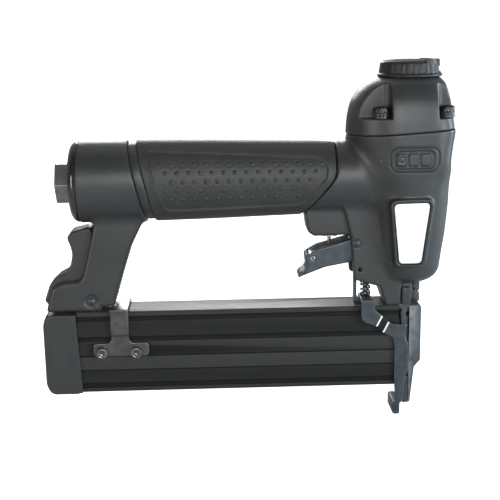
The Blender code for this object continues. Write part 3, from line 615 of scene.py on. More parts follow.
def arm_look():
    """Blued spring steel, with painted highlights as near-white lines along both folds of the contact arm
    and painted shade on the panel between them.
    """
    look = Look("arm_steel", 0.4, metallic=0.6)
    clouds = look.noise(5.0, 3.0)
    grain = look.noise(0.6, 3.0, 0.7)
    tone = look.mix(look.range(clouds, 0.3, 0.7, 0.0, 1.0), grey(0.055, 0.16), grey(0.08, 0.14))
    # Partly wear and partly painted highlight: the arm's edges are lightened to grey.
    edge_wear_and_highlight = look.times(look.edges(0.52, 0.6), look.range(clouds, 0.25, 0.6, 0.35, 1.0))
    tone = look.mix(edge_wear_and_highlight, tone, grey(0.5, 0.05))
    across = look.add("ShaderNodeVectorMath", operation="DOT_PRODUCT")
    across.inputs[1].default_value = FOLD_NORMAL
    look.link(look.place, across.inputs[0])
    along = across.outputs["Value"]
    low, high = FOLDS
    # Painted shade: the slanted panel between the folds is darkened as if it faced away from the lamps.
    tone = look.mix(look.near(along, (low + high) / 2, (high - low) / 2), tone, grey(0.014))
    # Painted highlights: a near-white line along each fold, where the bend catches the light.
    for fold in FOLDS:
        tone = look.mix(look.near(along, fold, 0.5), tone, (0.9, 0.87, 0.84))
    look.colour(tone)
    look.roughness(look.range(grain, 0.3, 0.7, 0.32, 0.5))
    look.bump(grain, 0.25, 0.03)
    return look.material


def plastic_look():
    """Glossy black moulded nylon."""
    look = Look("black_plastic", 0.2, coat=0.3, coat_roughness=0.08)
    waves = look.noise(4.0, 2.0)
    look.colour(look.mix(waves, grey(0.012), grey(0.022)))
    look.roughness(look.range(look.noise(1.2), 0.35, 0.7, 0.13, 0.24))
    look.bump(waves, 0.15, 0.05)
    return look.material


def brass_look():
    look = Look("turned_brass", 0.3, metallic=1.0)
    lines = look.noise(0.4, 2.0, 0.5, look.stretched(0.1, 0.1, 1.0))
    look.colour(look.mix(lines, (0.56, 0.4, 0.16), (0.7, 0.52, 0.24)))
    look.bump(lines, 0.2, 0.02)
    return look.material


def label_look():
    """White printed film with a faint ripple."""
    look = Look("label_white", 0.38, coat=0.25)
    look.colour(look.mix(look.noise(7.0), grey(0.8), grey(0.86)))
    look.bump(look.noise(3.0, 2.0), 0.12, 0.04)
    return look.material


LOOKS = {
    "cast_body": casting_look(),
    "grip_rubber": grip_look(),
    "seal_rubber": seal_look(),
    "magazine_alloy": magazine_look(),
    "dark_steel": steel_look("dark_steel", 0.07, 0.42, 0.42),
    "black_screw": steel_look("black_screw", 0.022, 0.3, 0.3, blue=0.0),
    "bright_steel": steel_look("bright_steel", 0.42, 0.28, 0.7, metallic=1.0, blue=0.0),
    "black_plastic": plastic_look(),
    "brass": brass_look(),
    "label_white": label_look(),
    "trigger_steel": steel_look("trigger_steel", 0.06, 0.42, 0.4, metallic=0.6, blue=0.14),
    "arm_steel": arm_look(),
    "bracket_steel": steel_look("bracket_steel", 0.09, 0.34, 0.8, metallic=0.85, blue=0.0),
    "cover_steel": steel_look("cover_steel", 0.05, 0.5, 0.25, metallic=0.3, blue=0.14),
    "glossy_screw": steel_look("glossy_screw", 0.016, 0.3, 0.12, metallic=0.6, blue=0.0),
    "bright_pin": steel_look("bright_pin", 0.14, 0.35, 0.6, blue=0.02),
    "dark_pin": steel_look("dark_pin", 0.035, 0.34, 0.2, metallic=0.5, blue=0.05),
    "hexagon_steel": steel_look("hexagon_steel", 0.2, 0.4, 0.5, metallic=0.9, blue=0.0),
    "satin_plastic": casting_look("satin_plastic", 0.014, 0.28),
}
BODY_OF = {node: body for body, nodes in frame["record"]["behaviour"]["bodies"].items() for node in nodes}


# ---------------------------------------------------------------- castings


def badge_relief(block):
    """Depth cut by the cast badge: a ring groove round a pocket with three raised tiles."""
    u, v = block.x, block.z
    frame_line = box_field(u, v, (78.1, 146.6), (104.7, 159.7), 4.6)
    depth = 0.9 * numpy.exp(-((frame_line / 0.38) ** 2))
    pocket_line = box_field(u, v, (80.6, 148.3), (102.2, 157.9), 3.0)
    depth = depth + 0.9 * ramp(-pocket_line, 0.35) + 0.35 * numpy.exp(-((pocket_line / 0.4) ** 2))
    for low, high in ((81.7, 86.8), (88.1, 93.4), (94.7, 100.3)):
        tile = box_field(u, v, (low, 149.4), (high, 156.5), 1.2)
        depth = depth - 0.75 * ramp(-tile, 0.3) + 0.4 * numpy.exp(-(((tile - 0.2) / 0.4) ** 2))
    eye = numpy.hypot(u - 84.2, v - 153.0)
    depth = depth + 0.35 * numpy.exp(-(((eye - 1.6) / 0.35) ** 2))
    return depth * (numpy.abs(block.y) > 20.0)


def grip_front(z):
    """Where the grip ends: upright above, swept back below, with a round corner between."""
    below = numpy.maximum(0.0, 146.5 - z)
    return 50.3 - 0.9 * (numpy.hypot(below, 6.0) - 6.0)


def handle_core(block):
    """The tube inside the grip with the collar that shows behind it."""
    round_part = numpy.hypot(block.y, block.z - HANDLE_Z)
    core = both(round_part - CORE_R, span(block.x, -89.0, 70.0), 0.6)
    lean = JOINT_LEAN * (block.z - HANDLE_Z)
    collar = both(tube_field(block, 20.6, 21.8), span(block.x + lean, -61.45, -56.45), 0.25)
    return soft_min(core, collar, 0.5)


def housing_field(block):
    x, y, z = block.x, block.y, block.z
    wide = numpy.abs(y)
    shell = soft_max(loft_field(block, BODY_LEVELS), 79.3 - z, 3.0)
    front = grip_front(z) + 0.3
    neck = both(tube_field(block, 19.3, 20.2), (front - x) * 0.9, 0.7)
    neck = numpy.maximum(neck, x - 78.0)
    shell = soft_min(shell, neck, 6.0)
    web_outline = [
        (52.0, 141.0), (50.0, 132.0), (54.6, 125.2, 6.0), (59.3, 106.1, 30.0), (60.6, 82.6, 2.0),
        (75.6, 78.1, 2.0), (79.2, 67.0, 1.0), (87.6, 67.0, 1.0), (88.6, 84.0), (86.0, 152.0),
    ]
    web = both(outline_field(x, z, web_outline), wide - 13.0, 1.4)
    shell = soft_min(shell, web, 2.4)
    nose_foot = [
        (86.0, 90.0), (86.0, 67.2), (94.2, 67.2, 1.0), (94.2, 70.3), (97.0, 70.3, 0.5),
        (97.0, 75.6, 0.5), (94.6, 75.6), (94.6, 90.0),
    ]
    shell = soft_min(shell, both(outline_field(x, z, nose_foot), wide - 10.8, 0.5), 0.5)
    boss_outline = [
        (33.0, 121.0, 2.0), (34.3, 110.6, 3.0), (38.0, 107.9, 2.5), (62.0, 108.3), (62.0, 132.0),
        (48.0, 134.0),
    ]
    boss = both(outline_field(x, z, boss_outline), wide - 10.2, 2.0)
    boss = numpy.maximum(boss, (front - x) * 0.9)
    shell = soft_min(shell, boss, 1.6)
    block_side = both(both(span(x, 88.5, 93.6), wide - 13.4, 0.4), span(z, 67.4, 77.6), 0.4)
    shell = soft_min(shell, block_side, 0.2)
    stud = both(numpy.hypot(x - 98.0, y) - 3.0, span(z, 66.0, 80.0), 0.4)
    stud = stud + 0.9 * numpy.exp(-(((z - 72.0) / 0.6) ** 2))
    shell = soft_min(shell, stud, 0.3)

    out = label_coordinates(block)
    rim = both(outline_field(x, z, label_outline(2.5, 3.2)), span(out, -9.0, 1.5), 0.7)
    shell = soft_min(shell, rim, 2.2)
    recess = both(outline_field(x, z, label_outline(0.9, 2.4)), span(out, 0.0, 9.0), 0.1)
    shell = without(shell, recess, 0.7)
    shell = shell + badge_relief(block)
    shell = soft_max(shell, z - seam_height(block) + 0.15, 0.5)

    drive = (DRIVE_X, 0.0)
    for radius, low, high in ((15.3, 88.0, 121.0), (19.5, 118.5, 175.0), (6.0, 80.0, 90.0)):
        shell = without(shell, rod_field(x, y, z, drive, radius, low, high), 0.3)
    slot = both(both(span(x, 91.3, 93.7), wide - 2.2, 0.1), span(z, 60.0, 87.0), 0.1)
    shell = without(shell, slot, 0.3)
    throat = both(both(span(x, 44.8, 65.9), wide - 8.5, 0.4), z - 108.1, 0.4)
    shell = without(shell, throat, 0.8)
    shell = without(shell, rod_field(x, y, z, (VALVE_X, 0.0), 5.3, 100.0, 130.0), 0.4)
    shell = without(shell, rod_field(x, z, y, TRIGGER_PIN, 2.35, -20.0, 20.0), 0.4)
    shell = without(shell, rod_field(x, z, y, (64.0, 88.5), 1.1, -20.0, -5.0), 0.4)
    shell = without(shell, rod_field(x, y, z, (68.9, 0.0), 2.1, 60.0, 91.0), 0.3)
    for place in CAP_SCREWS:
        shell = without(shell, rod_field(x, y, z, place, 2.8, 151.0, 175.0), 0.2)
    for across in (-5.6, 5.6):
        shell = without(shell, rod_field(x, y, z, (86.0, across), 1.8, 60.0, 86.0), 0.2)
    return shell


def make_housing():
    step = 0.45
    front = Block((18.0, -29.5, 65.5), (119.5, 29.5, 170.0), step)
    rear = Block((-90.5, -23.0, 117.0), (18.0, 23.0, 164.0), step)
    joined = soft_min(housing_field(front), handle_core(front), 0.5)
    sections = []
    for block, field in ((rear, handle_core(rear)), (front, joined)):
        chamber = rod_field(block.y, block.z, block.x, (0.0, HANDLE_Z), 12.5, -95.0, 78.0)
        sections.append((block, without(field, chamber, 0.4)))
    carve("housing_casting", "gun_body", sections, "cast_body", most=190000)


def make_cap():
    block = Block((54.5, -29.0, SEAM_Z - 2.5), (119.5, 29.0, 198.0), 0.38)
    x, y, z = block.x, block.y, block.z
    cap = soft_max(loft_field(block, CAP_LEVELS), z - 196.4, 1.0)
    cap = soft_max(cap, seam_height(block) + 0.15 - z, 0.5)
    for place_x, place_y in CAP_SCREWS:
        way_x = -1.0 if place_x < DRIVE_X else 1.0
        way_y = math.copysign(1.0, place_y)
        reach = 4.2
        a = reach - way_x * (x - place_x + way_x * 5.3)
        b = reach - way_y * (y - place_y + way_y * 4.7)
        corner = numpy.hypot(numpy.maximum(a, 0.0), numpy.maximum(b, 0.0))
        corner = corner + numpy.minimum(numpy.maximum(a, b), 0.0) - reach
        pocket = both(corner, CAP_SEAT_Z - z, 0.6)
        cap = without(cap, pocket, 0.6)
        cap = without(cap, rod_field(x, y, z, (place_x, place_y), 2.8, 160.0, 180.0), 0.2)
    drive = (DRIVE_X, 0.0)
    cap = without(cap, rod_field(x, y, z, drive, 19.3, 160.0, 184.0, 0.5), 0.4)
    cap = without(cap, rod_field(x, y, z, drive, 2.3, 160.0, 200.0), 0.3)
    for number in range(3):
        angle = 2 * math.pi * (number + 0.25) / 3
        port = (DRIVE_X + 9.5 * math.cos(angle), 9.5 * math.sin(angle))
        cap = without(cap, rod_field(x, y, z, port, 3.2, 180.0, 200.0), 0.3)
    carve("cap_casting", "cylinder_cap", [(block, cap)], "cast_body", most=160000)


ARM_OUTLINE = [
    (-85.0, 126.0), (-87.3, 113.8), (-90.8, 100.6, 30.0), (-94.8, 85.2, 5.0), (-105.8, 84.5, 9.0),
    (-112.4, 81.0, 6.0), (-115.8, 66.9, 1.2), (-84.6, 66.9, 1.0), (-83.3, 69.4, 1.0),
    (-77.0, 70.0, 1.8), (-72.3, 85.5), (-66.3, 103.5, 40.0), (-60.0, 116.0, 8.0), (-56.5, 126.0),
]


def make_rear_cover():
    block = Block((-117.5, -24.0, 66.0), (-53.0, 24.0, 164.5), 0.45)
    x, y, z = block.x, block.y, block.z
    round_part = numpy.hypot(y, z - HANDLE_Z)
    lean = JOINT_LEAN * (z - HANDLE_Z)
    before_joint = (x - COVER_FRONT_X + lean) * JOINT_COSINE
    cover = both(round_part - COVER_R, COVER_REAR_X - x, 0.8)
    cover = both(cover, before_joint, 0.5)
    arm = both(outline_field(x, z, ARM_OUTLINE), numpy.abs(y) - 12.0, 2.6)
    arm = numpy.maximum(arm, before_joint * (z > 118.0) - 9.0 * (z <= 118.0))
    cover = soft_min(cover, arm, 3.5)
    hollow = both(both(round_part - CORE_R - 0.3, -90.5 - x, 0.5), x + 40.0, 0.5)
    cover = without(cover, hollow, 0.4)
    cover = without(cover, both(round_part - 7.0, x + 80.0, 0.5), 0.4)
    lever_space = [
        (-130.0, 60.0), (-80.6, 60.0), (-80.6, 76.0, 4.0), (-75.5, 100.0, 30.0), (-76.0, 116.6),
        (-130.0, 116.6),
    ]
    cover = without(cover, both(outline_field(x, z, lever_space), numpy.abs(y) - 8.4, 0.3), 0.9)
    to_pin = numpy.hypot(x - LATCH_PIN[0], z - LATCH_PIN[1])
    cover = cover + 0.7 * ramp(4.0 - to_pin, 0.5) * (numpy.abs(y) > 10.5)
    cover = without(cover, both(to_pin - 1.85, numpy.abs(y) - 20.0, 0.1), 0.4)
    carve("rear_cover_casting", "rear_cover", [(block, cover)], "cast_body")


def make_grip():
    block = Block((-63.5, -21.5, 116.5), (51.5, 21.5, 164.8), 0.4)
    x, y, z = block.x, block.y, block.z
    stations = (-62.0, -54.0, -20.0, 40.0, 51.0)
    half_y = numpy.interp(x, stations, (20.0, 20.0, 19.3, 18.2, 17.5)).astype(numpy.float32)
    half_z = numpy.interp(x, stations, (23.1, 23.1, 22.5, 20.8, 20.0)).astype(numpy.float32)
    rear = GRIP_REAR_X - JOINT_LEAN * (z - HANDLE_Z)
    front = grip_front(z)
    grip = both(tube_field(block, half_y, half_z), (rear - x) * JOINT_COSINE, 0.8)
    grip = both(grip, (x - front) * 0.87, 1.0)
    panel_outline = [
        (-54.0, 158.6, 1.5), (41.5, 153.6, 4.0), (45.2, 149.5, 5.0), (44.6, 142.5, 4.0),
        (31.0, 127.6, 6.0), (-45.0, 125.3, 5.0), (-49.7, 137.7, 8.0), (-53.2, 150.0, 8.0),
    ]
    panel = outline_field(x, z, panel_outline)
    side = numpy.abs(y) > 5.0
    grip = grip + (0.75 * ramp(-panel, 0.4) - 0.3 * numpy.exp(-(((panel - 0.8) / 0.6) ** 2))) * side
    around = numpy.arcsin(numpy.clip((z - HANDLE_Z) / half_z, -1.0, 1.0)) * 21.5
    pitch, row_step, top_row = 6.42, 4.85, 11.0
    for row, (start, count) in enumerate(((-48.2, 15), (-45.0, 14), (-41.8, 13), (-45.0, 13), (-41.8, 12))):
        number = numpy.clip(numpy.round((x - start) / pitch), 0, count - 1)
        away = numpy.hypot(x - start - number * pitch, around - top_row + row * row_step)
        bump = 0.7 * numpy.clip(1.0 - (away / 1.0) ** 2, 0.0, 1.0)
        ring = 0.14 * numpy.exp(-(((away - 1.4) / 0.35) ** 2))
        grip = grip + (ring - bump) * side
    core = both(numpy.hypot(y, z - HANDLE_Z) - CORE_R - 0.3, x - 80.0, 0.1)
    grip = without(grip, core, 0.4)
    carve("rubber_grip", "grip_sleeve", [(block, grip)], "grip_rubber", most=190000)


def make_end_cap():
    block = Block((-119.5, -13.0, 16.0), (-95.5, 13.0, 66.5), 0.35)
    x, y, z = block.x, block.y, block.z
    outline = [
        (-99.3, 17.0, 0.8), (-99.3, 65.3, 0.8), (-116.2, 65.3, 2.2), (-118.3, 60.0, 12.0),
        (-118.3, 22.5, 12.0), (-115.4, 17.0, 4.8),
    ]
    cap = both(outline_field(x, z, outline), numpy.abs(y) - 12.0, 1.2)
    skirt_outline = [(-103.0, 17.6, 0.5), (-97.2, 17.6, 0.5), (-99.4, 64.9, 0.5), (-103.0, 64.9, 0.5)]
    skirt = both(outline_field(x, z, skirt_outline), span(numpy.abs(y), 10.75, 12.0), 0.45)
    cap = soft_min(cap, skirt, 0.4)
    for radius, deep in ((4.0, -108.0), (2.3, -90.0)):
        cap = without(cap, rod_field(y, z, x, (0.0, 42.0), radius, -130.0, deep), 0.5)
    carve("end_cap_casting", "magazine_end_cap", [(block, cap)], "cast_body", most=60000)


def make_latch():
    block = Block((-118.5, -8.6, 67.0), (-83.5, 8.6, 117.0), 0.35)
    x, y, z = block.x, block.y, block.z
    outline = [
        (-88.0, 115.9, 2.5), (-99.8, 113.0, 4.0), (-102.6, 109.8, 3.0), (-100.5, 104.0, 8.0),
        (-99.9, 99.7, 6.0), (-101.0, 94.0, 6.0), (-104.0, 89.3, 3.0), (-108.6, 87.0, 3.0),
        (-113.6, 82.5, 5.0), (-117.0, 73.0, 1.8), (-114.0, 69.0, 1.2), (-108.0, 67.6, 1.2),
        (-104.0, 73.0, 3.0), (-94.0, 69.4, 2.5), (-86.0, 68.9, 3.0), (-84.8, 78.0, 4.0),
        (-87.5, 98.0, 20.0),
    ]
    lever = both(outline_field(x, z, outline), numpy.abs(y) - 7.9, 1.5)
    lever = without(lever, rod_field(x, z, y, LATCH_PIN, 1.8, -20.0, 20.0), 0.3)
    lever = without(lever, rod_field(y, z, x, (0.0, 104.0), 3.6, -92.0, -80.0), 0.3)
    carve("lever_casting", "latch_lever", [(block, lever)], "cast_body", most=60000)


def make_trigger():
    block = Block((26.5, -8.8, 80.5), (67.0, 8.8, 108.8), 0.28)
    x, y, z = block.x, block.y, block.z
    outline = [
        (28.0, 82.0, 0.8), (30.0, 85.8, 3.0), (34.0, 88.6, 2.0), (33.2, 96.0, 2.5),
        (40.5, 100.2, 8.0), (58.5, 105.2, 4.0), (61.0, 107.4, 2.5), (65.4, 106.8, 2.5),
        (65.4, 94.0, 3.0), (59.5, 91.9, 6.0), (44.5, 89.2, 20.0), (34.5, 85.4, 8.0),
    ]
    trigger = both(outline_field(x, z, outline), numpy.abs(y) - 8.1, 1.1)
    channel = [
        (34.6, 120.0), (34.6, 90.2, 0.8), (44.5, 91.2), (57.0, 93.6, 0.8), (57.0, 80.0),
        (80.0, 80.0), (80.0, 120.0),
    ]
    hollow = both(outline_field(x, z, channel), numpy.abs(y) - 6.6, 0.6)
    trigger = without(trigger, hollow, 0.5)
    tail = both(box_field(x, z, (20.0, 70.0), (33.0, 88.2), 2.0), -(numpy.abs(y) - 6.6), 1.2)
    trigger = without(trigger, tail, 0.9)
    trigger = without(trigger, rod_field(x, z, y, TRIGGER_PIN, 2.3, -20.0, 20.0), 0.3)
    trigger = without(trigger, rod_field(x, z, y, IDLER_PIN, 1.4, -20.0, 20.0), 0.3)
    carve(
        "trigger_casting", "trigger", [(block, trigger)], "dark_steel", "trigger_steel", most=60000,
    )


def make_deflector():
    block = Block((73.0, -19.5, 195.5), (112.0, 19.5, 207.0), 0.3)
    x, y, z = block.x, block.y, block.z
    radius = numpy.hypot(x - DRIVE_X, y)
    turn = numpy.arctan2(y, x - DRIVE_X)
    foot = 196.7
    flange = both(radius - 18.0, span(z, foot, foot + 1.5), 0.5)
    side = numpy.interp(z, (foot, 204.0), (17.4, 16.4)).astype(numpy.float32)
    bowl = both(radius - side, z - 205.7 + numpy.maximum(radius - 9.0, 0.0) ** 2 * 0.014, 1.3)
    bowl = numpy.maximum(bowl, foot - z)
    fluted = ramp(math.radians(100) - numpy.abs(turn + math.radians(35)), 0.15)
    flutes = 0.13 * numpy.clip(numpy.cos(30 * turn) * 1.5, -1.0, 1.0) * fluted
    bowl = bowl + flutes * ramp(z - 198.6, 0.5) * ramp(203.2 - z, 0.5) * (radius > 14.0)
    lip = both(numpy.abs(radius - 15.3) - 1.2, span(z, 203.0, 205.9), 0.3)
    lip = numpy.maximum(lip, (numpy.abs(turn + math.radians(5)) - math.radians(62)) * 15.0)
    cap = soft_min(soft_min(flange, bowl, 0.6), lip, 0.5)
    inside = both(radius - 14.0, z - 202.4, 0.8)
    cap = without(cap, inside, 0.4)
    mouth = both(both(span(x, 105.0, 116.0), numpy.abs(y) - 8.0, 0.6), span(z, 199.3, 202.0), 0.6)
    cap = without(cap, mouth, 0.4)
    cap = without(cap, both(radius - 2.4, 200.0 - z, 0.1), 0.5)
    carve(
        "deflector_moulding", "deflector", [(block, cap)], "black_plastic", "satin_plastic", most=110000,
    )


def make_inlet():
    block = Block((-108.0, -13.6, 127.0), (-85.5, 13.6, 154.0), 0.32)
    x, y, z = block.x, block.y, block.z - HANDLE_Z
    radius = numpy.hypot(y, z)
    across = 11.0
    flats = numpy.abs(z)
    for lean in (-1.0, 1.0):
        flats = numpy.maximum(flats, numpy.abs(z * 0.5 + lean * y * 0.866))
    head = both(flats - across, span(x, -107.0, -99.4), 0.25)
    head = soft_max(head, (radius - 12.4 - (x + 107.0) * 1.7) * 0.5, 0.3)
    head = soft_max(head, (radius - 12.6 + (x + 99.4) * 1.7) * 0.5, 0.3)
    fitting = soft_min(head, both(radius - 6.4, span(x, -99.6, -86.5), 0.4), 0.3)
    fitting = soft_min(fitting, both(radius - 8.6, span(x, -103.0, -99.1), 0.1), 0.1)
    thread = 0.35 * numpy.abs(((x / 1.3) % 1.0) - 0.5) * 2
    fitting = without(fitting, both(radius - 5.9 + thread, span(x, -111.0, -96.0), 0.1), 0.3)
    fitting = without(fitting, both(radius - 4.6, span(x, -120.0, -80.0), 0.1), 0.3)
    fitting = without(fitting, (radius - 6.6 + (x + 107.0)) * 0.7, 0.2)
    carve(
        "inlet_hexagon", "inlet_fitting", [(block, fitting)], "dark_steel", "hexagon_steel", most=90000,
    )


def make_bracket():
    block = Block((-91.0, -14.6, 39.0), (-56.5, 13.4, 70.0), 0.3)
    x, y, z = block.x, block.y, block.z
    outline = [
        (-89.9, 40.0, 2.2), (-89.9, 47.8, 2.2), (-80.6, 48.0, 1.0), (-79.4, 49.6, 1.0),
        (-79.4, 68.0), (-69.1, 68.0), (-69.1, 49.6, 1.0), (-67.6, 48.0, 1.0),
        (-57.9, 47.8, 2.2), (-57.9, 40.0, 2.2),
    ]
    stepped = y + 0.9 * ramp(z - 52.6, 0.9)
    plate = both(outline_field(x, z, outline), span(stepped, -12.4, -10.8), 0.4)
    over = both(both(span(x, -79.3, -69.2), span(y, -13.2, 12.4), 1.6), span(z, 66.65, 68.1), 0.4)
    hook = both(both(span(x, -79.3, -69.2), span(y, 10.85, 12.4), 0.4), span(z, 58.0, 68.0), 0.5)
    tongue = both(both(span(x, -79.0, -77.6), numpy.abs(y) - 5.0, 0.4), span(z, 66.8, 69.2), 0.4)
    plate = soft_min(soft_min(plate, over, 0.6), soft_min(hook, tongue, 0.3), 0.8)
    for place in BRACKET_SCREWS:
        plate = without(plate, rod_field(x, z, y, place, 2.3, -20.0, -5.0), 0.3)
    carve(
        "bracket_pressing", "magazine_bracket", [(block, plate)], "dark_steel", "bracket_steel", most=70000,
    )


def make_nose_guide():
    block = Block((80.0, -9.2, 4.8), (94.3, 9.2, 67.4), 0.27)
    x, y, z = block.x, block.y, block.z
    wide = numpy.abs(y)
    outline = [
        (88.8, 10.0, 0.8), (90.6, 5.5, 0.6), (93.5, 5.5, 0.4), (93.5, 66.7, 0.4), (81.0, 66.7, 0.5),
        (81.0, 64.4, 0.5), (88.8, 63.6, 0.5),
    ]
    guide = both(outline_field(x, z, outline), wide - 8.6, 0.4)
    side_groove = both(both(span(x, 91.9, 96.0), 7.0 - wide, 0.2), span(z, 22.0, 64.0), 0.3)
    guide = without(guide, side_groove, 0.4)
    guide = without(guide, both(DRIVE_X - 1.1 - x, wide - 2.0, 0.2), 0.3)
    guide = without(guide, both(both(span(x, 80.0, 96.0), wide - 1.1, 0.1), span(z, 20.8, 57.0), 0.3), 0.3)
    for across in (-5.6, 5.6):
        guide = without(guide, rod_field(x, y, z, (86.0, across), 1.8, 60.0, 70.0), 0.2)
        guide = without(guide, rod_field(x, y, z, (86.0, across), 3.3, 60.0, 64.6), 0.2)
        for height in (37.0, 60.0):
            guide = without(guide, rod_field(y, z, x, (across, height), 1.8, 86.0, 110.0), 0.2)
    carve("nose_guide_block", "nose_guide", [(block, guide)], "dark_steel", most=60000)


def make_contact_arm():
    block = Block((60.5, -16.0, -0.4), (94.5, 5.6, 81.0), 0.27)
    x, y, z = block.x, block.y, block.z
    outline = [
        (64.6, 70.9, 0.8), (64.7, 60.2, 2.0), (66.5, 57.7, 2.0), (73.7, 55.1), (77.6, 50.8),
        (83.4, 47.6, 2.0), (84.7, 43.3, 2.0), (84.7, 22.0, 1.0), (85.2, 14.0, 1.0),
        (86.6, 7.6, 0.8), (89.2, 6.9, 0.8), (90.4, 15.0, 0.8), (91.0, 23.2, 0.5),
        (92.9, 26.5, 0.5), (92.7, 43.2, 0.8), (90.6, 47.2, 0.8), (91.8, 55.0, 0.6),
        (83.9, 55.5, 1.5), (81.3, 56.7, 1.0), (76.8, 61.1, 1.0), (72.7, 64.8, 1.0),
        (72.1, 70.8, 0.8),
    ]
    low, high = FOLDS
    step = 2.0 * numpy.clip((FOLD_NORMAL[0] * x + FOLD_NORMAL[2] * z - low) / (high - low), 0.0, 1.0)
    arm = both(outline_field(x, z, outline), span(y - step, -14.9, -13.4), 0.3)
    foot_outline = [
        (84.0, 0.8, 0.8), (84.0, 7.8, 1.0), (88.3, 7.8, 1.0), (88.3, 0.0, 0.8), (85.2, 0.0, 0.6),
    ]
    foot = both(outline_field(x, z, foot_outline), span(y, -12.7, 5.0), 0.5)
    leg = both(box_field(x, y, (85.4, -12.7), (88.1, -10.7), 0.3), span(z, 6.0, 14.0), 0.3)
    ledge = both(box_field(x, y, (64.9, -14.7), (71.8, 3.4), 0.6), span(z, 68.6, 70.5), 0.4)
    guide_rod = rod_field(x, y, z, (68.9, 0.0), 1.5, 69.5, 80.0, 0.4)
    for other in (foot, leg, ledge, guide_rod):
        arm = soft_min(arm, other, 0.5)
    carve(
        "contact_arm_pressing", "contact_arm", [(block, arm)], "dark_steel", "arm_steel", most=90000,
    )


# ---------------------------------------------------------------- extrusion, screws, springs

RIB_PROFILE = [
    (66.3, 10.0), (65.8, 10.5), (63.7, 10.5), (63.3, 9.7), (60.9, 9.7), (60.5, 10.4),
    (51.4, 10.4), (50.9, 9.4), (48.7, 9.4), (48.2, 10.5), (40.1, 10.5), (39.8, 10.1),
    (39.4, 10.1), (39.1, 10.5), (31.5, 10.5), (31.2, 10.1), (30.8, 10.1), (30.5, 10.5),
    (23.7, 10.5), (23.2, 9.6), (20.7, 9.6), (20.2, 10.5), (18.3, 10.5), (17.8, 10.0),
]


def make_magazine():
    low_x, high_x = -99.0, 87.0

    def make(form):
        outer = [(-y, z) for z, y in RIB_PROFILE] + [(y, z) for z, y in reversed(RIB_PROFILE)]
        inner = [(-8.0, 20.6), (8.0, 20.6), (8.0, 61.6), (-8.0, 61.6)]
        rims = []
        for x in (low_x, high_x):
            edges = []
            for loop in (outer, inner):
                verts = [form.verts.new((x, y, z)) for y, z in loop]
                edges.append([form.edges.new(pair) for pair in zip(verts, verts[1:] + verts[:1])])
                rims.append(verts)
            bmesh.ops.triangle_fill(form, edges=edges[0] + edges[1], use_beauty=True)
        for near, far in ((rims[0], rims[2]), (rims[1], rims[3])):
            for i in range(len(near)):
                j = (i + 1) % len(near)
                form.faces.new((near[i], near[j], far[j], far[i]))

    made = piece_from(
        "magazine_extrusion", make, "frame", LOOKS["magazine_alloy"], ("magazine_body",),
        sharp=20,
    )
    cutter = piece_from(
        "extrusion_cutter", relief_and_threads, "frame", LOOKS["magazine_alloy"],
    )
    opening = made.modifiers.new("relief", "BOOLEAN")
    opening.operation = "DIFFERENCE"
    opening.object = cutter
    soften = made.modifiers.new("edges", "BEVEL")
    soften.width = 0.12 * MM
    soften.segments = 2
    soften.angle_limit = math.radians(30)
    made.data = bpy.data.meshes.new_from_object(
        made.evaluated_get(bpy.context.evaluated_depsgraph_get())
    )
    made.modifiers.clear()
    made.data.shade_smooth()
    made.data.set_sharp_from_angle(angle=math.radians(20))
    bpy.data.objects.remove(cutter)


def relief_and_threads(form):
    """What is cut from the extrusion: room at its front end and two bracket screw holes."""
    corners = [(-8.9, 55.0), (8.9, 55.0), (8.9, 70.0), (-8.9, 70.0)]
    skin(form, [[(x, y, z) for y, z in corners] for x in (79.5, 100.0)])
    for x, z in BRACKET_SCREWS:
        skin(form, turned_rings([(2.3, -30.0), (2.3, -5.0)], (x, 0, z), "Y", 24))


def make_screws():
    black = LOOKS["black_screw"]
    for number, (x, y) in enumerate(CAP_SCREWS):
        seat = CAP_SEAT_Z + 1.6
        node = f"cap_screw_{number + 1}"
        socket_screw(
            node + "_bolt", node, 2.5, (4.25, 4.9), 4.0, (x, y, 0), "Z", seat, 152.0,
            LOOKS["glossy_screw"],
        )
        washer = turned(
            node + "_washer",
            [(2.75, CAP_SEAT_Z + 0.1), (4.3, CAP_SEAT_Z + 0.1), (4.4, CAP_SEAT_Z + 0.3),
             (4.4, CAP_SEAT_Z + 1.3), (4.3, CAP_SEAT_Z + 1.5), (2.75, CAP_SEAT_Z + 1.5)],
            (x, y, 0), "Z", "frame", LOOKS["glossy_screw"], closed=True,
        )
    for number, (x, z) in enumerate(BRACKET_SCREWS):
        node = f"bracket_screw_{number + 1}"
        socket_screw(
            node + "_bolt", node, 2.0, (3.5, 3.4), 3.2, (x, 0, z), "Y", -12.75, -8.3,
            LOOKS["bracket_steel"],
        )
    for number, y in enumerate((-5.6, 5.6)):
        node = f"nose_screw_{number + 1}"
        socket_screw(
            node + "_bolt", node, 1.5, (3.0, 2.6), 2.5, (86.0, y, 0), "Z", 64.1, 84.0, black,
        )
    for number, (y, z) in enumerate(((-5.4, 60.0), (5.4, 60.0), (-5.4, 37.0), (5.4, 37.0))):
        node = f"cover_screw_{number + 1}"
        socket_screw(
            node + "_bolt", node, 1.5, (2.9, 1.5), 2.5, (0, y, z), "X", 98.9, 89.4, black,
        )
    socket_screw(
        "end_cap_bolt", "end_cap_screw", 2.0, (3.5, 3.7), 3.0, (0, 0, 42.0), "X", -108.3, -95.6,
        black,
    )


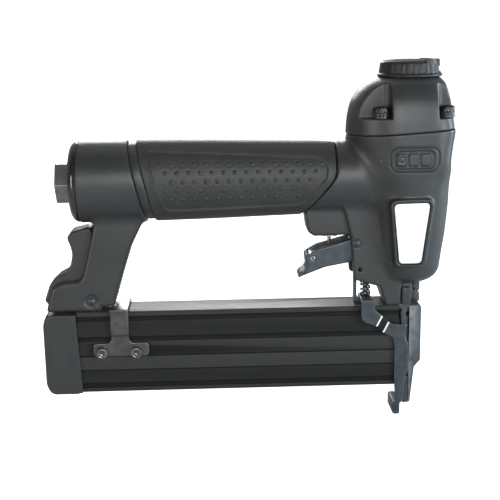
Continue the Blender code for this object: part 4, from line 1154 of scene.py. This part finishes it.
def make_springs():
    steel, black = LOOKS["bright_steel"], LOOKS["black_screw"]
    for spring in (
        ("head_valve_spring", 14.6, 0.7, 172.1, 182.9, 4.5, (DRIVE_X, 0, 0), "Z", steel),
        ("valve_spring", 2.3, 0.25, 115.8, 123.6, 7, (VALVE_X, 0, 0), "Z", steel),
        ("safety_spring", 2.6, 0.6, 71.0, 78.2, 3.6, (68.9, 0, 0), "Z", black),
        ("pusher_spring", 2.9, 0.4, -94.2, 65.2, 34, (0, 0, 57.4), "X", steel),
        ("latch_spring", 2.7, 0.35, -91.4, -76.5, 8, (0, 0, 104.0), "X", steel),
    ):
        coil(*spring)


def make_turned_parts():
    handle = (0, 0, HANDLE_Z)
    turned(
        "end_ring_moulding",
        [(7.0, -94.1), (22.5, -94.1), (22.8, -94.5), (22.7, -95.4), (22.2, -96.5), (21.4, -97.5),
         (20.3, -98.2), (18.8, -98.7), (17.4, -98.8), (8.0, -98.8), (7.0, -98.3)],
        handle, "X", "frame", LOOKS["black_plastic"], ("rear_end_ring",),
        closed=True, sides=96,
    )
    domed = [(0.5, -14.1), (1.2, -14.0), (1.9, -13.7), (2.4, -13.3), (2.6, -13.05)]
    turned(
        "trigger_axle", domed + [(2.0, -13.02), (2.0, 12.6), (1.6, 13.0)],
        (TRIGGER_PIN[0], 0, TRIGGER_PIN[1]), "Y", "frame", LOOKS["dark_pin"], ("trigger_pin",),
    )
    turned(
        "latch_axle",
        [(0.5, -12.7), (1.2, -12.6), (1.9, -12.2), (2.3, -11.6), (2.3, -11.35), (1.5, -11.3),
         (1.5, 11.3), (2.3, 11.35), (2.3, 11.6), (1.9, 12.2), (1.2, 12.6)],
        (LATCH_PIN[0], 0, LATCH_PIN[1]), "Y", "frame", LOOKS["dark_pin"], ("latch_pin",),
    )
    turned(
        "idler_axle",
        [(0.3, -8.0), (0.6, -8.3), (0.95, -8.5), (1.3, -8.3), (1.3, -7.9), (1.1, -7.7), (1.1, 8.1)],
        (IDLER_PIN[0], 0, IDLER_PIN[1]), "Y", "trigger", LOOKS["bright_pin"], ("idler_pin",),
    )
    turned(
        "valve_plunger",
        [(0.3, 101.4), (0.9, 101.8), (1.05, 102.4), (1.05, 112.3), (2.9, 112.3), (2.9, 113.1),
         (2.3, 113.4), (2.3, 114.2), (2.9, 114.5), (2.9, 115.2), (1.0, 115.2), (1.0, 117.0)],
        (VALVE_X, 0, 0), "Z", "trigger_valve", LOOKS["bright_steel"], ("valve_stem",),
    )


def make_label():
    """The blank name plate: a thin sheet with rounded corners and a softened edge."""

    def make(form):
        long = math.hypot(1.0, LABEL_SLOPE)
        rings = []
        for margin, out in ((0.0, 0.3), (0.25, 0.3), (0.25, 0.95), (0.1, 1.1), (-0.6, 1.12)):
            ring = []
            for x, z in rounded(label_outline(margin, 2.0 + margin), 8):
                y = LABEL_LOW[0] + (z - LABEL_LOW[1]) * LABEL_SLOPE
                ring.append((x, y - out / long, z - out * LABEL_SLOPE / long))
            rings.append(ring)
        skin(form, rings)

    piece_from(
        "name_plate_film", make, "frame", LOOKS["label_white"], ("name_plate",),
    )


# ---------------------------------------------------------------- carried-over CAD nodes


def dress(node, slot_look, bevel=0.0):
    """Gives a CAD node its finish and, where edges show, a small bevel."""
    made = frame["nodes"][node]
    for slot in made.material_slots:
        slot.material = slot_look
    if not bevel:
        return
    joined = made.modifiers.new("joined", "WELD")
    joined.merge_threshold = 0.00001
    edge = made.modifiers.new("edge", "BEVEL")
    edge.width = bevel * MM
    edge.segments = 3
    edge.limit_method = "ANGLE"
    edge.angle_limit = math.radians(28)
    edge.harden_normals = True


def dress_the_rest():
    steel, bright, seal = LOOKS["dark_steel"], LOOKS["bright_steel"], LOOKS["seal_rubber"]
    for node, look, bevel in (
        ("safety_upper_arm", steel, 0.2),
        ("nose_cover", LOOKS["cover_steel"], 0.35),
        ("cylinder_sleeve", bright, 0.0),
        ("driver_blade", steel, 0.1),
        ("piston", bright, 0.2),
        ("head_valve", LOOKS["black_plastic"], 0.2),
        ("deflector_screw", LOOKS["black_screw"], 0.1),
        ("valve_bushing", LOOKS["brass"], 0.1),
        ("valve_cap", LOOKS["brass"], 0.1),
        ("trigger_idler", bright, 0.2),
        ("magazine_slider", LOOKS["magazine_alloy"], 0.25),
        ("pusher", bright, 0.25),
        ("pusher_rod", bright, 0.2),
        ("bumper", seal, 0.3),
        ("exhaust_seal", seal, 0.3),
        ("cap_gasket", seal, 0.0),
    ):
        dress(node, look, bevel)
    drive, handle = (DRIVE_X, 0, 0), (0, 0, HANDLE_Z)
    o_ring("sleeve_lower_ring", 16.15, 0.8, 94.0, drive, "Z")
    o_ring("sleeve_upper_ring", 16.15, 0.8, 112.0, drive, "Z")
    o_ring("rear_cover_ring", 15.7, 0.8, -80.0, handle, "X")
    o_ring("head_valve_ring", 18.1, 0.75, 167.8, drive, "Z")
    o_ring("piston_ring", 12.15, 0.75, 152.9, drive, "Z")


# ---------------------------------------------------------------- studio

CAMERA_LENS = 71.3
CAMERA_TARGET = (1.7, 0.0, 98.6)
CAMERA_DISTANCE = 574.0


def make_camera():
    """The camera stands in front of the tool, a little to its left and above it, and tips down."""
    turn, tip, roll = math.radians(1.6), math.radians(13.0), math.radians(0.9)
    forward = Vector((math.sin(turn) * math.cos(tip), math.cos(turn) * math.cos(tip), -math.sin(tip)))
    level = Vector((math.cos(turn), -math.sin(turn), 0.0))
    upright = level.cross(forward)
    right = level * math.cos(roll) - upright * math.sin(roll)
    up = upright * math.cos(roll) + level * math.sin(roll)
    data = bpy.data.cameras.new("camera")
    data.lens, data.sensor_width = CAMERA_LENS, 36.0
    data.clip_end = 20.0
    camera = bpy.data.objects.new("camera", data)
    bpy.context.scene.collection.objects.link(camera)
    target = Vector(CAMERA_TARGET) * MM
    place = target - forward * CAMERA_DISTANCE * MM
    facing = Matrix((right, up, -forward)).transposed()
    camera.matrix_world = Matrix.Translation(place) @ facing.to_4x4()
    bpy.context.scene.camera = camera


def area_light(name, place, size, power, colour=(1.0, 1.0, 1.0), aim=(0.0, 0.0, 0.1)):
    data = bpy.data.lights.new(name, "AREA")
    data.shape = "RECTANGLE"
    data.size, data.size_y = size
    data.energy = power
    data.color = colour
    lamp = bpy.data.objects.new(name, data)
    bpy.context.scene.collection.objects.link(lamp)
    lamp.location = place
    lamp.rotation_euler = (Vector(aim) - Vector(place)).to_track_quat("-Z", "Y").to_euler()


def make_studio():
    world = bpy.data.worlds.new("studio")
    bpy.context.scene.world = world
    world.use_nodes = True
    tree = world.node_tree
    background = tree.nodes["Background"]
    background.inputs["Strength"].default_value = 1.0
    direction = tree.nodes.new("ShaderNodeTexCoord")
    split = tree.nodes.new("ShaderNodeSeparateXYZ")
    backdrop = tree.nodes.new("ShaderNodeMapRange")
    for name, value in (("From Min", -0.1), ("From Max", 0.5), ("To Min", 0.03), ("To Max", 0.35)):
        backdrop.inputs[name].default_value = value
    tree.links.new(direction.outputs["Generated"], split.inputs["Vector"])
    tree.links.new(split.outputs["Y"], backdrop.inputs["Value"])
    tree.links.new(backdrop.outputs["Result"], background.inputs["Color"])
    white = tree.nodes.new("ShaderNodeBackground")
    white.inputs["Color"].default_value = (1.0, 1.0, 1.0, 1.0)
    white.inputs["Strength"].default_value = 1.05
    seen = tree.nodes.new("ShaderNodeLightPath")
    choose = tree.nodes.new("ShaderNodeMixShader")
    tree.links.new(seen.outputs["Is Camera Ray"], choose.inputs["Fac"])
    tree.links.new(background.outputs["Background"], choose.inputs[1])
    tree.links.new(white.outputs["Background"], choose.inputs[2])
    tree.links.new(choose.outputs["Shader"], tree.nodes["World Output"].inputs["Surface"])

    form = bmesh.new()
    bmesh.ops.create_grid(form, x_segments=1, y_segments=1, size=6.0)
    mesh = bpy.data.meshes.new("floor")
    form.to_mesh(mesh)
    form.free()
    floor = bpy.data.objects.new("floor", mesh)
    bpy.context.scene.collection.objects.link(floor)
    paper = bpy.data.materials.new("paper")
    paper.use_nodes = True
    shader = paper.node_tree.nodes["Principled BSDF"]
    shader.inputs["Base Color"].default_value = (0.6, 0.6, 0.6, 1.0)
    shader.inputs["Roughness"].default_value = 0.9
    shader.inputs["Emission Color"].default_value = (1.0, 1.0, 1.0, 1.0)
    glow = paper.node_tree.nodes.new("ShaderNodeLightPath")
    paper.node_tree.links.new(glow.outputs["Is Camera Ray"], shader.inputs["Emission Strength"])
    mesh.materials.append(paper)

    area_light("key", (0.05, -1.1, 0.4), (0.4, 0.25), 6.5)
    area_light("cool_side", (0.85, -0.75, 0.3), (0.3, 0.45), 9.0, (0.8, 0.93, 1.0))
    area_light("cool_rim", (0.9, 0.1, 0.25), (0.3, 0.45), 6.0, (0.75, 0.93, 1.0))
    area_light("warm_side", (-0.9, -0.6, 0.25), (0.3, 0.45), 4.0, (1.0, 0.95, 0.88))
    area_light("top", (0.1, 0.35, 1.1), (0.9, 0.9), 1.5)
    area_light("back_key", (-0.1, 1.1, 0.55), (0.5, 0.3), 6.0)
    bpy.context.scene.view_settings.view_transform = "Standard"


make_camera()
make_studio()
make_housing()
make_cap()
make_rear_cover()
make_grip()
make_end_cap()
make_latch()
make_trigger()
make_deflector()
make_inlet()
make_bracket()
make_nose_guide()
make_contact_arm()
make_magazine()
make_screws()
make_springs()
make_turned_parts()
make_label()
dress_the_rest()
